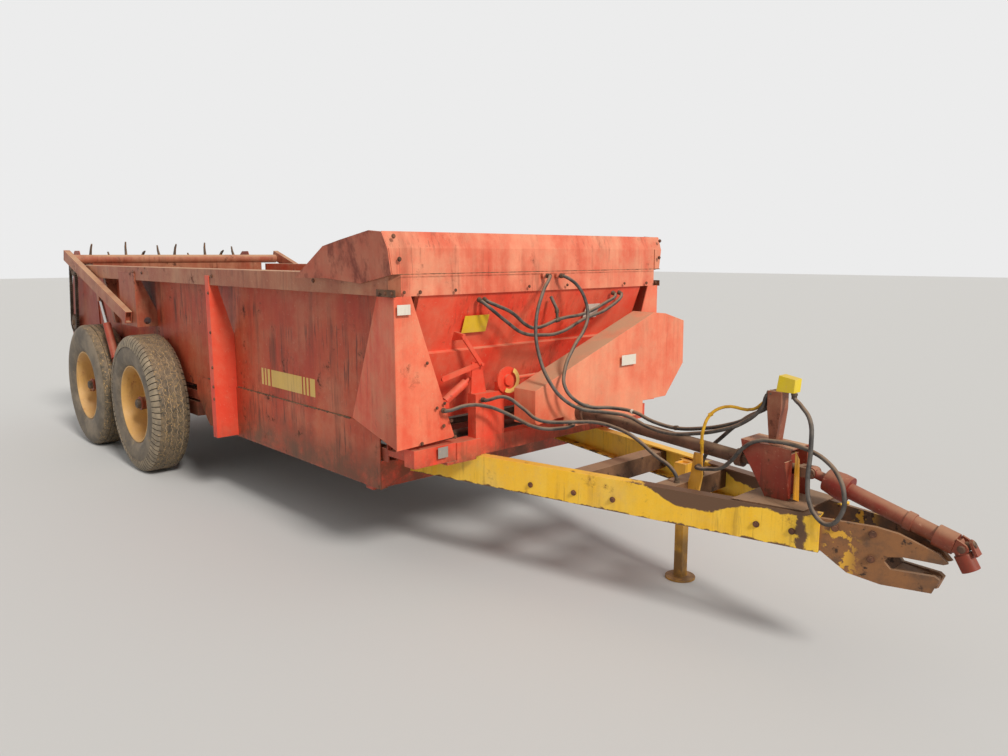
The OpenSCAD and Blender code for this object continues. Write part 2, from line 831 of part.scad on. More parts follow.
module driveline() {
    placed() color("firebrick") {
        difference() {
            union() {
                cross_bar(joint_x, joint_z, 24, -fork_half + seat, fork_half - seat);
                translate([joint_x, 0, joint_z]) rotate([0, 90 + drive_drop, 0])
                    cylinder(r = 19, h = 61);
            }
            cross_bar(joint_x, joint_z, cross_pin_r + run_gap, -fork_half, fork_half);
        }
        translate([joint_x, 0, joint_z]) rotate([0, 90 + drive_drop, 0]) {
            translate([0, 0, 60]) cylinder(r1 = 46, r2 = 54, h = 60);
            translate([0, 0, 120]) cylinder(r = 54, h = 36);
            translate([0, 0, 150]) cylinder(r = drive_r, h = drive_len - 230);
            translate([0, 0, drive_len - 190]) cylinder(r = drive_r + 5, h = 30);
            translate([0, 0, drive_len - 80]) cylinder(r = 41, h = 70);
        }
        translate([joint_x + drive_len * cos(drive_drop), 0, joint_z - drive_len * sin(drive_drop)])
            rotate([0, 90 + yoke_drop, 0]) difference() {
                union() {
                    translate([0, 0, -20]) cylinder(r = 24, h = 60);
                    translate([0, 0, 30]) cylinder(r = yoke_r, h = yoke_len - 30);
                }
                translate([0, 0, 42]) cylinder(r = spline_r, h = yoke_len);
            }
    }
}

// Stand that holds the hoses' ends, with a tilted block on top

stand_back = 1306;
stand_front = 1367;
stand_top = 1062;

module hose_stand() {
    placed() color("brown")
        side_plate([[stand_back + 16, guard_top(stand_back + 16)],
                    [stand_front - 17, guard_top(stand_front - 17)], [stand_front, stand_top - 75],
                    [stand_front, stand_top], [stand_back, stand_top], [stand_back, stand_top - 75]],
                   -38, 26);
}

module hose_block() {
    placed() color(yellow)
        side_plate([[stand_front - 27, stand_top], [stand_front, stand_top],
                    [stand_front + 50, stand_top], [stand_front + 54, stand_top + 56],
                    [stand_front - 17, stand_top + 68]], -34, 22);
}

// Walking beams, one on each side, on a shaft across the frame

beam_w = 80;
stub_r = 30;
hub_depth = 120;
beam_y = wall_out - 5;

module walking_beams() {
    placed() color(dull_red) for (side = [-1, 1]) on_side(side) {
        difference() {
            block([-rear_axle_x - 70, beam_y - beam_w, axle_z - beam_h / 2],
                  [-front_axle_x + 520, beam_y, axle_z + beam_h / 2]);
            cross_bar(-pivot_x, axle_z, pivot_r + run_gap, 0, 1000);
        }
        for (x = [-front_axle_x, -rear_axle_x]) {
            cross_bar(x, axle_z, stub_r, beam_y - 1, wheel_in + hub_depth - 15);
        }
    }
}

module pivot_shaft() {
    placed() color(steel) {
        cross_bar(-pivot_x, axle_z, pivot_r, -beam_y, beam_y);
        for (side = [-1, 1]) on_side(side) {
            block([-pivot_x - 90, sill_out - sill_w - 58, axle_z - 55],
                  [-pivot_x + 90, sill_out - sill_w - 22, cross_low]);
            block([-pivot_x - 90, sill_out - sill_w - 22, sill_low + 2],
                  [-pivot_x + 90, sill_out - sill_w, cross_low]);
        }
    }
}

// Wheels

// Grooves round a rear tyre's tread, as distances from the tyre's inner side
groove_at = [70, 111, 152, 193];
groove_w = 10;
groove_depth = 8;

module tyre(x, side, grooves) {
    placed() color("#3a3733") on_side(side) translate([-x, wheel_in, axle_z])
        rotate([-90, 0, 0]) rotate_extrude($fn = 96)
            polygon(concat([[rim_r, 30], [rim_r + 30, 10], [tyre_r - 110, 0], [tyre_r - 40, 8],
                            [tyre_r - 14, 24], [tyre_r, 44]],
                           [for (g = grooves) each [[tyre_r, g - groove_w / 2],
                                                    [tyre_r - groove_depth, g - groove_w / 2 + 2],
                                                    [tyre_r - groove_depth, g + groove_w / 2 - 2],
                                                    [tyre_r, g + groove_w / 2]]],
                           [[tyre_r, tyre_w - 44], [tyre_r - 14, tyre_w - 24],
                            [tyre_r - 40, tyre_w - 8], [tyre_r - 110, tyre_w],
                            [rim_r + 30, tyre_w - 10], [rim_r, tyre_w - 30]]));
}

module rim(x, side) {
    placed() color(yellow) on_side(side) translate([-x, wheel_in, axle_z])
        rotate([-90, 0, 0]) difference() {
            union() {
                rotate_extrude($fn = 96)
                    polygon([[rim_r, 22], [rim_r, tyre_w - 22], [rim_r - 10, tyre_w - 22],
                             [rim_r - 20, tyre_w - 60], [rim_r - 20, 80], [120, 60], [70, 60],
                             [70, 48], [125, 48], [rim_r - 30, 64], [rim_r - 20, 22]]);
                difference() {
                    cylinder(r = 72, h = hub_depth);
                    translate([0, 0, -1]) cylinder(r = stub_r + run_gap, h = hub_depth - 9);
                }
            }
        }
}

module tyre_front_right() { tyre(front_axle_x, -1, [tyre_w / 2]); }
module tyre_front_left() { tyre(front_axle_x, 1, [tyre_w / 2]); }
module tyre_rear_right() { tyre(rear_axle_x, -1, groove_at); }
module tyre_rear_left() { tyre(rear_axle_x, 1, groove_at); }
module rim_front_right() { rim(front_axle_x, -1); }
module rim_front_left() { rim(front_axle_x, 1); }
module rim_rear_right() { rim(rear_axle_x, -1); }
module rim_rear_left() { rim(rear_axle_x, 1); }

// End gate with its lift arms and cylinders

arm_in = rail_out + 12;
arm_out = arm_in + arm_w;
gate_pin_r = 18;
bracket_t = 8;
bracket_low = 1075;
bracket_ahead = 159;
bracket_behind = 201;
rear_stake_x = rear_axle_x - 129;
rear_stake_low = 2 * tyre_r + 15;

module gate_brackets() {
    rib_x = -gate_pivot_x + bracket_ahead;
    back_x = -gate_pivot_x - bracket_behind;
    placed() color("brown") shaft_bearing(rib_x - bracket_t);
    placed() color("brown") for (side = [-1, 1]) on_side(side) {
        block([back_x, rail_out, bracket_low], [rib_x, rail_out + bracket_t, rail_top - 35]);
        block([back_x, wall_out, bracket_low], [rib_x, rail_out + 1, bracket_low + bracket_t]);
        difference() {
            front_plate([[wall_out, rail_z - 240], [wall_out, bracket_low], [rail_out + 1, bracket_low],
                         [rail_out + 1, rail_z], [rail_out - 40, rail_z]], rib_x - bracket_t, rib_x);
            shaft_way();
        }
        for (x = [rear_stake_x, rear_stake_x + 56])
            front_plate([[wall_out, rail_z], [wall_out, rear_stake_low],
                         [wall_out + 28, rear_stake_low], [wall_out + 90, rail_z]], -x - 6, -x);
        front_plate([[wall_out + 22, rear_stake_low], [wall_out + 28, rear_stake_low],
                     [wall_out + 90, rail_z], [wall_out + 84, rail_z]],
                    -rear_stake_x - 62, -rear_stake_x);
        cross_bar(-gate_pivot_x, gate_pivot_z, gate_pin_r, rail_out, arm_out);
        block([-cyl_low_x - 42, wall_out, cyl_low_z - 72],
              [-cyl_low_x + 42, cyl_y + ear_y + ear_t, cyl_low_z - 40]);
        for (y = [cyl_y - ear_y - ear_t, cyl_y + ear_y])
            block([-cyl_low_x - 30, y, cyl_low_z - 42], [-cyl_low_x + 30, y + ear_t, cyl_low_z + 22]);
        cross_bar(-cyl_low_x, cyl_low_z, cyl_pin_r, cyl_y - ear_y - 1, cyl_y + ear_y + 1);
    }
}

arm_top_z = 1610;
arm_wall = 6;
arm_dx = gate_x + gate_t - gate_pivot_x;
arm_rise = atan2(arm_top_z - gate_pivot_z, arm_dx);

module lift_arms() {
    placed() color("brown") for (side = [-1, 1]) on_side(side) {
        difference() {
            translate([-gate_pivot_x, arm_in, gate_pivot_z]) rotate([0, arm_rise, 0])
                block([-norm([arm_dx, arm_top_z - gate_pivot_z]) - 30, 0, -arm_h / 2],
                      [70, arm_w, arm_h / 2]);
            translate([-gate_pivot_x, arm_in, gate_pivot_z]) rotate([0, arm_rise, 0])
                block([gate_pin_r + 12, arm_wall, -arm_h / 2 + arm_wall],
                      [71, arm_w - arm_wall, arm_h / 2 - arm_wall]);
            cross_bar(-gate_pivot_x, gate_pivot_z, gate_pin_r + run_gap, arm_in - 1, arm_out + 1);
        }
        for (y = [cyl_y - ear_y - ear_t, cyl_y + ear_y])
            side_plate([[-cyl_top_x - 34, cyl_top_z + 60], [-cyl_top_x - 24, cyl_top_z - 18],
                        [-cyl_top_x + 20, cyl_top_z - 18], [-cyl_top_x + 34, cyl_top_z + 50]],
                       y, y + ear_t);
        cross_bar(-cyl_top_x, cyl_top_z, arm_pin_r, cyl_y - ear_y - 1, cyl_y + ear_y + 1);
    }
}

rib_count = 5;

module end_gate() {
    placed() color("brown") {
        block([-gate_x - gate_t, -wall_in + 6, floor_z + 45], [-gate_x, wall_in - 6, gate_top]);
        cross_bar(-gate_x - gate_t / 2, gate_top + 20, gate_beam_r, -arm_in, arm_in);
        for (i = [0 : rib_count - 1]) {
            y = (i - (rib_count - 1) / 2) * 2 * (wall_in - 90) / (rib_count - 1);
            block([-gate_x - gate_t - 25, y - 20, floor_z + 75], [-gate_x - gate_t, y + 20, gate_top - 30]);
        }
    }
}

// Lift cylinders between the tyres: barrel pinned to a bracket on the wall, rod to the arm

cyl_y = arm_in + arm_w / 2;
cyl_rise = atan2(cyl_top_z - cyl_low_z, cyl_top_x - cyl_low_x);
cyl_reach = norm([cyl_top_x - cyl_low_x, cyl_top_z - cyl_low_z]);
eye_half = 10;
ear_t = 10;
ear_y = eye_half + 2;

module on_cylinder() {
    translate([-cyl_low_x, cyl_y, cyl_low_z]) rotate([0, cyl_rise - 90, 0]) children();
}

module gate_cylinders() {
    placed() color(red) for (side = [-1, 1]) on_side(side) on_cylinder() difference() {
        union() {
            translate([0, 0, 40]) cylinder(r = cyl_r, h = barrel_len - 40);
            translate([-24, -eye_half, 0]) cube([48, 2 * eye_half, 42]);
            rotate([-90, 0, 0]) translate([0, 0, -eye_half]) cylinder(r = 24, h = 2 * eye_half);
        }
        translate([0, 0, 80]) cylinder(r = rod_r + seat, h = barrel_len);
        rotate([-90, 0, 0]) translate([0, 0, -50]) cylinder(r = cyl_pin_r + run_gap, h = 100);
    }
}

module gate_rods() {
    placed() color("silver") for (side = [-1, 1]) on_side(side) on_cylinder() difference() {
        union() {
            translate([0, 0, 95]) cylinder(r = rod_r, h = cyl_reach - 95 - 34);
            translate([-14, -eye_half, cyl_reach - 36]) cube([28, 2 * eye_half, 20]);
            translate([0, 0, cyl_reach]) rotate([-90, 0, 0]) translate([0, 0, -eye_half])
                cylinder(r = 28, h = 2 * eye_half);
        }
        translate([0, 0, cyl_reach]) rotate([-90, 0, 0]) translate([0, 0, -50])
            cylinder(r = arm_pin_r + 9, h = 100);
    }
}

// Beaters between their side plates

module beater_plate(side) {
    on_side(side) difference() {
        side_plate([[-box_len + 60, 1400], [-box_len + 60, 640], [-lower_x - 60, 640],
                    [-rear_x + 60, 760], [-rear_x, 900], [-rear_x, 1080], [-rear_x + 90, 1250],
                    [-upper_x - 190, 1420], [-upper_x - 170, 1600], [-upper_x - 80, 1660],
                    [-upper_x + 60, 1660], [-upper_x + 120, 1560], [-gate_x - 120, 1430]],
                   wall_out, wall_out + plate_t);
        for (b = [[upper_x, upper_z], [lower_x, lower_z]])
            cross_bar(-b[0], b[1], beater_shaft_r + run_gap, 0, 2000);
    }
}

// A bearing ring on a plate's outer face
module beater_bearing(x, z, side) {
    on_side(side) difference() {
        cross_bar(-x, z, 58, wall_out + plate_t - 1, wall_out + plate_t + 20);
        cross_bar(-x, z, beater_shaft_r + run_gap, 0, 2000);
    }
}

beater_shaft_r = 25;
tie_x = [5260, 5330];
tie_z = [650, 710];

module beater_plates() {
    placed() color(red) {
        for (side = [-1, 1]) {
            beater_plate(side);
            beater_bearing(upper_x, upper_z, side);
        }
        beater_bearing(lower_x, lower_z, -1);
        block([-tie_x[1], -wall_out - 1, tie_z[0]], [-tie_x[0], wall_out + 1, tie_z[1]]);
    }
}

// Gear case that takes the side shaft's drive to the lower beater
module rear_gearbox() {
    placed() color(dull_red) difference() {
        union() {
            block([-lower_x - 80, wall_out + plate_t + seat, lower_z - 80],
                  [-lower_x + 85, rail_out - 5, shaft_z + 35]);
            translate([-lower_x + 60, shaft_y, shaft_z]) rotate([0, 90, 0]) cylinder(r = 34, h = 25);
        }
        cross_bar(-lower_x, lower_z, beater_shaft_r + run_gap, 0, beater_shaft + 3);
    }
}

module tine() {
    rotate([90, 0, 0]) linear_extrude(12, center = true)
        polygon([[-28, 0], [-24, 120], [-6, 200], [24, tine_r - 4], [30, tine_r - 12],
                 [18, 190], [22, 120], [28, 0]]);
}

// A sprocket's outline: root circle and blunt teeth
module sprocket_outline(r, teeth) {
    root = r - tooth_h;
    circle(r = root);
    for (i = [0 : teeth - 1]) rotate([0, 0, i * 360 / teeth])
        polygon([[root - 2, -9], [r - seat, -4], [r - seat, 4], [root - 2, 9]]);
}

module beater(x, z, phase) {
    half = wall_in - 30;
    pitch = 2 * (half - 60) / (tine_count - 1);
    color("sienna") translate([-x, 0, z]) {
        translate([0, half, 0]) rotate([90, 0, 0]) cylinder(r = beater_tube_r, h = 2 * half);
        translate([0, beater_shaft, 0]) rotate([90, 0, 0])
            cylinder(r = beater_shaft_r, h = 2 * beater_shaft);
        for (y = [-half + disc_t, half]) translate([0, y, 0]) rotate([90, 0, 0])
            cylinder(r = end_disc_r, h = disc_t);
        for (i = [0 : tine_count - 1], turn = [0, 180])
            translate([0, -half + 60 + i * pitch, 0])
                rotate([0, phase + i * tine_step + turn, 0]) tine();
        translate([0, -beater_shaft + 30, 0]) rotate([90, 0, 0]) linear_extrude(sprocket_w)
            sprocket_outline(sprocket_r, sprocket_teeth);
    }
}

beater_shaft = wall_out + 75;
sprocket_r = 78;
sprocket_w = 16;
sprocket_teeth = 13;
tooth_h = 12;
end_disc_r = 105;
disc_t = 8;
tine_step = 51;

module upper_beater() { placed() beater(upper_x, upper_z, 20); }
module lower_beater() { placed() beater(lower_x, lower_z, 65); }

// Roller chain round the two beaters' sprockets on the right

chain_pitch = 38;

module drive_chain() {
    y = beater_shaft - 22;
    a = atan2(lower_x - upper_x, upper_z - lower_z);
    len = norm([lower_x - upper_x, upper_z - lower_z]);
    placed() color(steel) translate([-upper_x, -y + 12, upper_z]) rotate([90, 0, 0])
        rotate([0, 0, -90 - a]) linear_extrude(24) difference() {
            union() {
                circle(r = sprocket_r + 18);
                translate([len, 0]) circle(r = sprocket_r + 18);
                translate([0, -sprocket_r - 18]) square([len, 2 * sprocket_r + 36]);
            }
            circle(r = sprocket_r + seat);
            translate([len, 0]) circle(r = sprocket_r + seat);
            translate([0, -sprocket_r - seat]) square([len, 2 * (sprocket_r + seat)]);
            for (x = [chain_pitch / 2 : chain_pitch : len], z = [-1, 1])
                translate([x, z * (sprocket_r + 18)]) square([10, 10], center = true);
            for (i = [0 : 6], far = [0, 1])
                translate([far * len, 0]) rotate([0, 0, (far == 0 ? 90 : -90) + (i + 0.5) * 180 / 7])
                    translate([sprocket_r + 18, 0]) square([10, 10], center = true);
        }
}

// Hoses and the pull rope: each is a tube along its own list of points

function unit(v) = v / norm(v);
function ring(p, dir, r, n) =
    let (side = unit(cross(dir, abs(dir[2]) > 0.9 ? [1, 0, 0] : [0, 0, 1])), up = cross(side, dir))
    [for (k = [0 : n - 1]) p + r * (cos(360 * k / n) * side + sin(360 * k / n) * up)];

module tube(path, r, n = 6) {
    last = len(path) - 1;
    dirs = [for (i = [0 : last])
            unit(path[min(i + 1, last)] - path[max(i - 1, 0)])];
    points = [for (i = [0 : last]) each ring(path[i], dirs[i], r, n)];
    walls = [for (i = [0 : last - 1], k = [0 : n - 1])
             each [[i * n + k, i * n + (k + 1) % n, (i + 1) * n + (k + 1) % n],
                   [i * n + k, (i + 1) * n + (k + 1) % n, (i + 1) * n + k]]];
    polyhedron(points, concat([[for (k = [n - 1 : -1 : 0]) k]], walls,
                              [[for (k = [0 : n - 1]) last * n + k]]));
}

hose_r = 9;
rope_r = 7;

// A hose leaves the front wall square to it: its point at distance d in front of the wall
function off_wall(y, z, d) =
    [front_face(z) + seat + d * cos(front_lean), y, z - d * sin(front_lean)];

lead = 16;
gland_x = gland_len + seat;
stand_x = stand_back - seat;

long_right = [[gland_x, -30, 1507], [gland_x + lead, -30, 1507], [62, -66, 1488],
              [90, -130, 1440], [132, -228, 1280], [185, -260, 1130], [285, -268, 985],
              [330, -225, 915], [375, -146, 866], [440, -68, 852], [560, -36, 846],
              [700, -48, 815], [830, -50, 806], [960, -48, 828], [1080, -46, 862],
              [1180, -40, 908], [1262, -30, 985], [stand_x - lead, -26, 1050],
              [stand_x, -26, 1050]];
long_left = [[gland_x, 73, 1505], [gland_x + lead, 73, 1505], [60, 98, 1488], [84, 138, 1448],
             [108, 166, 1380], [135, 158, 1300], [168, 95, 1230], [205, -20, 1158],
             [268, -165, 1035], [302, -196, 975], [340, -172, 916], [385, -100, 874],
             [448, -22, 868], [560, 8, 862], [700, -12, 836], [830, -14, 826], [960, -12, 845],
             [1080, -10, 878], [1180, -8, 922], [1262, -4, 992], [stand_x - lead, -5, 1050],
             [stand_x, -5, 1050]];
front_loop = [[1395, -20, stand_top - seat], [1395, -20, stand_top - lead], [1432, -36, 1020],
              [1488, -65, 971], [1512, -95, 880], [1526, -135, 737], [1543, -150, 674],
              [1583, -165, 623], [1632, -170, 607], [1677, -165, 658], [1676, -150, 728],
              [1637, -120, 787], [1575, -90, 827], [1505, -72, 850], [1422, -68, 862],
              [1350, -76, 864], [1280, -92, 856], [1215, -96, 810], [1165, -90, 750],
              [1110, -84, 705], [1050, -84, 690], [1005, -86, 684],
              [990, lever_y - 6 - seat - lead, 684], [990, lever_y - 6 - seat, 684]];
left_drop = [[stand_x, 10, 1006], [stand_x - lead, 10, 1006], [1262, 20, 980], [1150, 50, 915],
             [1009, 80, 795], [950, 90, 735], [910, 95, 665], [905, 95, strut_top_z + lead],
             [905, 95, strut_top_z + seat]];
wall_upper = [off_wall(-436, 1400, 0), off_wall(-436, 1400, 24), [30, -404, 1372],
              [30, -297, 1330], [30, -184, 1256], [30, -133, 1243], [30, 55, 1279],
              [30, 254, 1298], [26, 420, 1345], off_wall(551, 1400, 24), off_wall(551, 1400, 0)];
wall_lower = [off_wall(-470, 1400, 0), off_wall(-470, 1400, 24), [30, -444, 1360],
              [30, -338, 1290], [30, -219, 1222], [30, -88, 1203], [30, 48, 1205],
              [30, 255, 1270], [28, 440, 1312], off_wall(608, 1400, 24), off_wall(608, 1400, 0)];
feed_upper = [[seat, -470, 905], [25, -470, 905], [100, -412, 925], [180, -365, 873],
              [262, -348, 828], [302, -290, 812], [340, -160, 800], [420, -95, 800],
              [520, -80, 790], [640, -85, 765], [780, -95, 700], [880, -102, 655],
              [905, -102, strut_top_z + lead], [905, -102, strut_top_z + seat]];
feed_lower = [[seat, -720, 885], [25, -720, 885], [62, -630, 905], [72, -500, 885],
              [100, -420, 850], [160, -374, 815], [235, -356, 792], [280, -318, 780],
              [304, -240, 773], [305, -170, 770], [280, -104, 770], [265, -100, 770],
              [shield_front + seat, -100, 770]];
pull_rope_path = [[lever_x, lever_y, lever_top + seat], [lever_x, lever_y, lever_top + lead],
                  [1004, -66, 800], [1012, -74, 850], [1032, -50, 925], [1083, -20, 962],
                  [1205, 0, 966], [1245, 8, 998], [stand_x - lead, 15, 1050],
                  [stand_x, 15, 1050]];

module hoses() {
    placed() color("black")
        for (path = [long_right, long_left, front_loop, left_drop, wall_upper, wall_lower,
                     feed_upper, feed_lower])
            tube(path, hose_r);
}

module pull_rope() {
    placed() color("gold") tube(pull_rope_path, rope_r);
}

sills();
cross_members();
floor_boards();
side_walls();
side_rails();
top_rail_front();
front_wall();
hood();
stakes();
corner_posts();
front_beam();
apron();
apron_shafts();
feed_post();
feed_disc();
feed_cylinder();
chain_shield();
side_shaft();
tongue_channels();
tongue_deck();
hitch_plates();
jack_socket();
jack_leg();
latch_lever();
shaft_guard();
input_shaft();
hose_stand();
hose_block();
driveline();
walking_beams();
pivot_shaft();
tyre_front_right();
tyre_front_left();
tyre_rear_right();
tyre_rear_left();
rim_front_right();
rim_front_left();
rim_rear_right();
rim_rear_left();
gate_brackets();
end_gate();
lift_arms();
gate_cylinders();
gate_rods();
beater_plates();
rear_gearbox();
upper_beater();
lower_beater();
drive_chain();
hoses();
pull_rope();
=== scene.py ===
"""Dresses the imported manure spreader: camera, cords, finishes, fasteners, labels and light."""

import json
import math
import random

import bmesh
import bpy
from mathutils import Matrix, Vector

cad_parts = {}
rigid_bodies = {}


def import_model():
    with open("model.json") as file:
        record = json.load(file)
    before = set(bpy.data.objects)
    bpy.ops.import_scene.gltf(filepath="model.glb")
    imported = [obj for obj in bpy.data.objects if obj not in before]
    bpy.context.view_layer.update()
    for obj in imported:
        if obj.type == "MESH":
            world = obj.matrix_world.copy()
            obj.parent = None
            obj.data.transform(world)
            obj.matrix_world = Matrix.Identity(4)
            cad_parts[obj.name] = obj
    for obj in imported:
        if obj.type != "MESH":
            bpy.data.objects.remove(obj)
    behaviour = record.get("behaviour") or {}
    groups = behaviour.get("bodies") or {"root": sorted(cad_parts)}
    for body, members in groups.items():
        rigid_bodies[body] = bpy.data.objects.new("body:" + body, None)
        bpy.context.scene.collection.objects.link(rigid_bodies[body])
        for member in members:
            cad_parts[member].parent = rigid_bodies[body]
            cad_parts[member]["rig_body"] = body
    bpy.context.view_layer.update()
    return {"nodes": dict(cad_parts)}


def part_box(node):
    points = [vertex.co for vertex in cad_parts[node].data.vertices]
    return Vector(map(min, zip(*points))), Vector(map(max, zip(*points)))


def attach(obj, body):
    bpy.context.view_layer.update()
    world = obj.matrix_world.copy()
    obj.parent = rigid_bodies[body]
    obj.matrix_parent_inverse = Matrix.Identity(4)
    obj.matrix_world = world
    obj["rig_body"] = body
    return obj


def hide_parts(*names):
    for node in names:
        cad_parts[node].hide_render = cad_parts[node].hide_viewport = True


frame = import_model()
nodes = frame["nodes"]
scene = bpy.context.scene

# Places are given in millimetres from the front face of the front top rail, as in the part's source.
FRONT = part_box("top_rail_front")[1].x


def at(x, y, z):
    return Vector((x / 1000 + FRONT, y / 1000, z / 1000))


# Camera, fitted to the photo's straight edges

CAMERA_AT = (2881.5, -3000.7, 1615)
CAMERA_YAW = math.radians(137.099)
CAMERA_PITCH = math.radians(8.913)
CAMERA_ROLL = math.radians(0.087)
FOCAL_PIXELS = 785
PHOTO_WIDTH = 1008
SENSOR = 36


def add_camera():
    data = bpy.data.cameras.new("camera")
    data.sensor_width = SENSOR
    data.lens = FOCAL_PIXELS / PHOTO_WIDTH * SENSOR
    data.clip_end = 200
    camera = bpy.data.objects.new("camera", data)
    scene.collection.objects.link(camera)
    ahead = Vector((math.cos(CAMERA_YAW) * math.cos(CAMERA_PITCH),
                    math.sin(CAMERA_YAW) * math.cos(CAMERA_PITCH),
                    -math.sin(CAMERA_PITCH)))
    turn = ahead.to_track_quat("-Z", "Y").to_matrix() @ Matrix.Rotation(-CAMERA_ROLL, 3, "Z")
    camera.matrix_world = Matrix.Translation(at(*CAMERA_AT)) @ turn.to_4x4()
    scene.camera = camera


add_camera()


# Node trees, written through a few short calls

class Graph:
    """Places and links nodes in one tree."""

    def __init__(self, tree):
        self.tree = tree

    def node(self, kind, inputs=None, **settings):
        made = self.tree.nodes.new(kind)
        for name, value in settings.items():
            setattr(made, name, value)
        for name, value in (inputs or {}).items():
            if isinstance(value, bpy.types.NodeSocket):
                self.tree.links.new(value, made.inputs[name])
            else:
                made.inputs[name].default_value = value
        return made

    def maths(self, operation, first, second=0.0):
        return self.node("ShaderNodeMath", {0: first, 1: second}, operation=operation).outputs[0]

    def plus(self, first, second):
        return self.maths("ADD", first, second)

    def minus(self, first, second):
        return self.maths("SUBTRACT", first, second)

    def times(self, first, second):
        return self.maths("MULTIPLY", first, second)

    def place(self):
        return self.node("ShaderNodeTexCoord").outputs["Object"]

    def normal(self):
        return self.node("ShaderNodeNewGeometry").outputs["Normal"]

    def split(self, vector):
        return self.node("ShaderNodeSeparateXYZ", {0: vector}).outputs

    def scaled(self, vector, factors):
        return self.node("ShaderNodeVectorMath", {0: vector, 1: factors},
                         operation="MULTIPLY").outputs[0]

    def noise(self, vector, scale, detail=4.0, roughness=0.55):
        return self.node("ShaderNodeTexNoise", {"Vector": vector, "Scale": scale, "Detail": detail,
                                                "Roughness": roughness}).outputs[0]

    def step(self, value, low, high):
        """0 below low, 1 above high, smooth between; the other way round where high is lower."""
        return self.node("ShaderNodeMapRange", {"Value": value, "From Min": low, "From Max": high},
                         interpolation_type="SMOOTHSTEP").outputs[0]

    def mix(self, factor, first, second):
        made = self.node("ShaderNodeMix", data_type="RGBA")
        for socket, value in ((made.inputs[0], factor), (made.inputs[6], first),
                              (made.inputs[7], second)):
            if isinstance(value, bpy.types.NodeSocket):
                self.tree.links.new(value, socket)
            else:
                socket.default_value = value
        return made.outputs[2]


def rgb(red, green, blue):
    """A colour as the screen shows it, 0 to 255, made linear."""
    def linear(value):
        value /= 255
        return value / 12.92 if value <= 0.04045 else ((value + 0.055) / 1.055) ** 2.4
    return (linear(red), linear(green), linear(blue), 1)


RUST = rgb(112, 58, 38)
OLD_RUST = rgb(86, 52, 38)
DRIP = rgb(84, 44, 31)
DUST = rgb(196, 156, 124)
LIGHT_DUST = rgb(176, 146, 118)
PALE_SPECK = rgb(214, 164, 134)
MUD = rgb(96, 72, 52)
PAINT_GRAIN = rgb(60, 34, 26)
BARE_GRAIN = rgb(40, 28, 22)


def new_group(name, colours, values):
    """A shader node group that takes colours and values and gives colour, roughness and height."""
    tree = bpy.data.node_groups.new(name, "ShaderNodeTree")
    for way, labels, kind in (("INPUT", colours, "NodeSocketColor"),
                              ("INPUT", values, "NodeSocketFloat"),
                              ("OUTPUT", ("Colour",), "NodeSocketColor"),
                              ("OUTPUT", ("Roughness", "Height"), "NodeSocketFloat")):
        for label in labels:
            tree.interface.new_socket(name=label, in_out=way, socket_type=kind)
    graph = Graph(tree)
    return graph, graph.node("NodeGroupInput").outputs


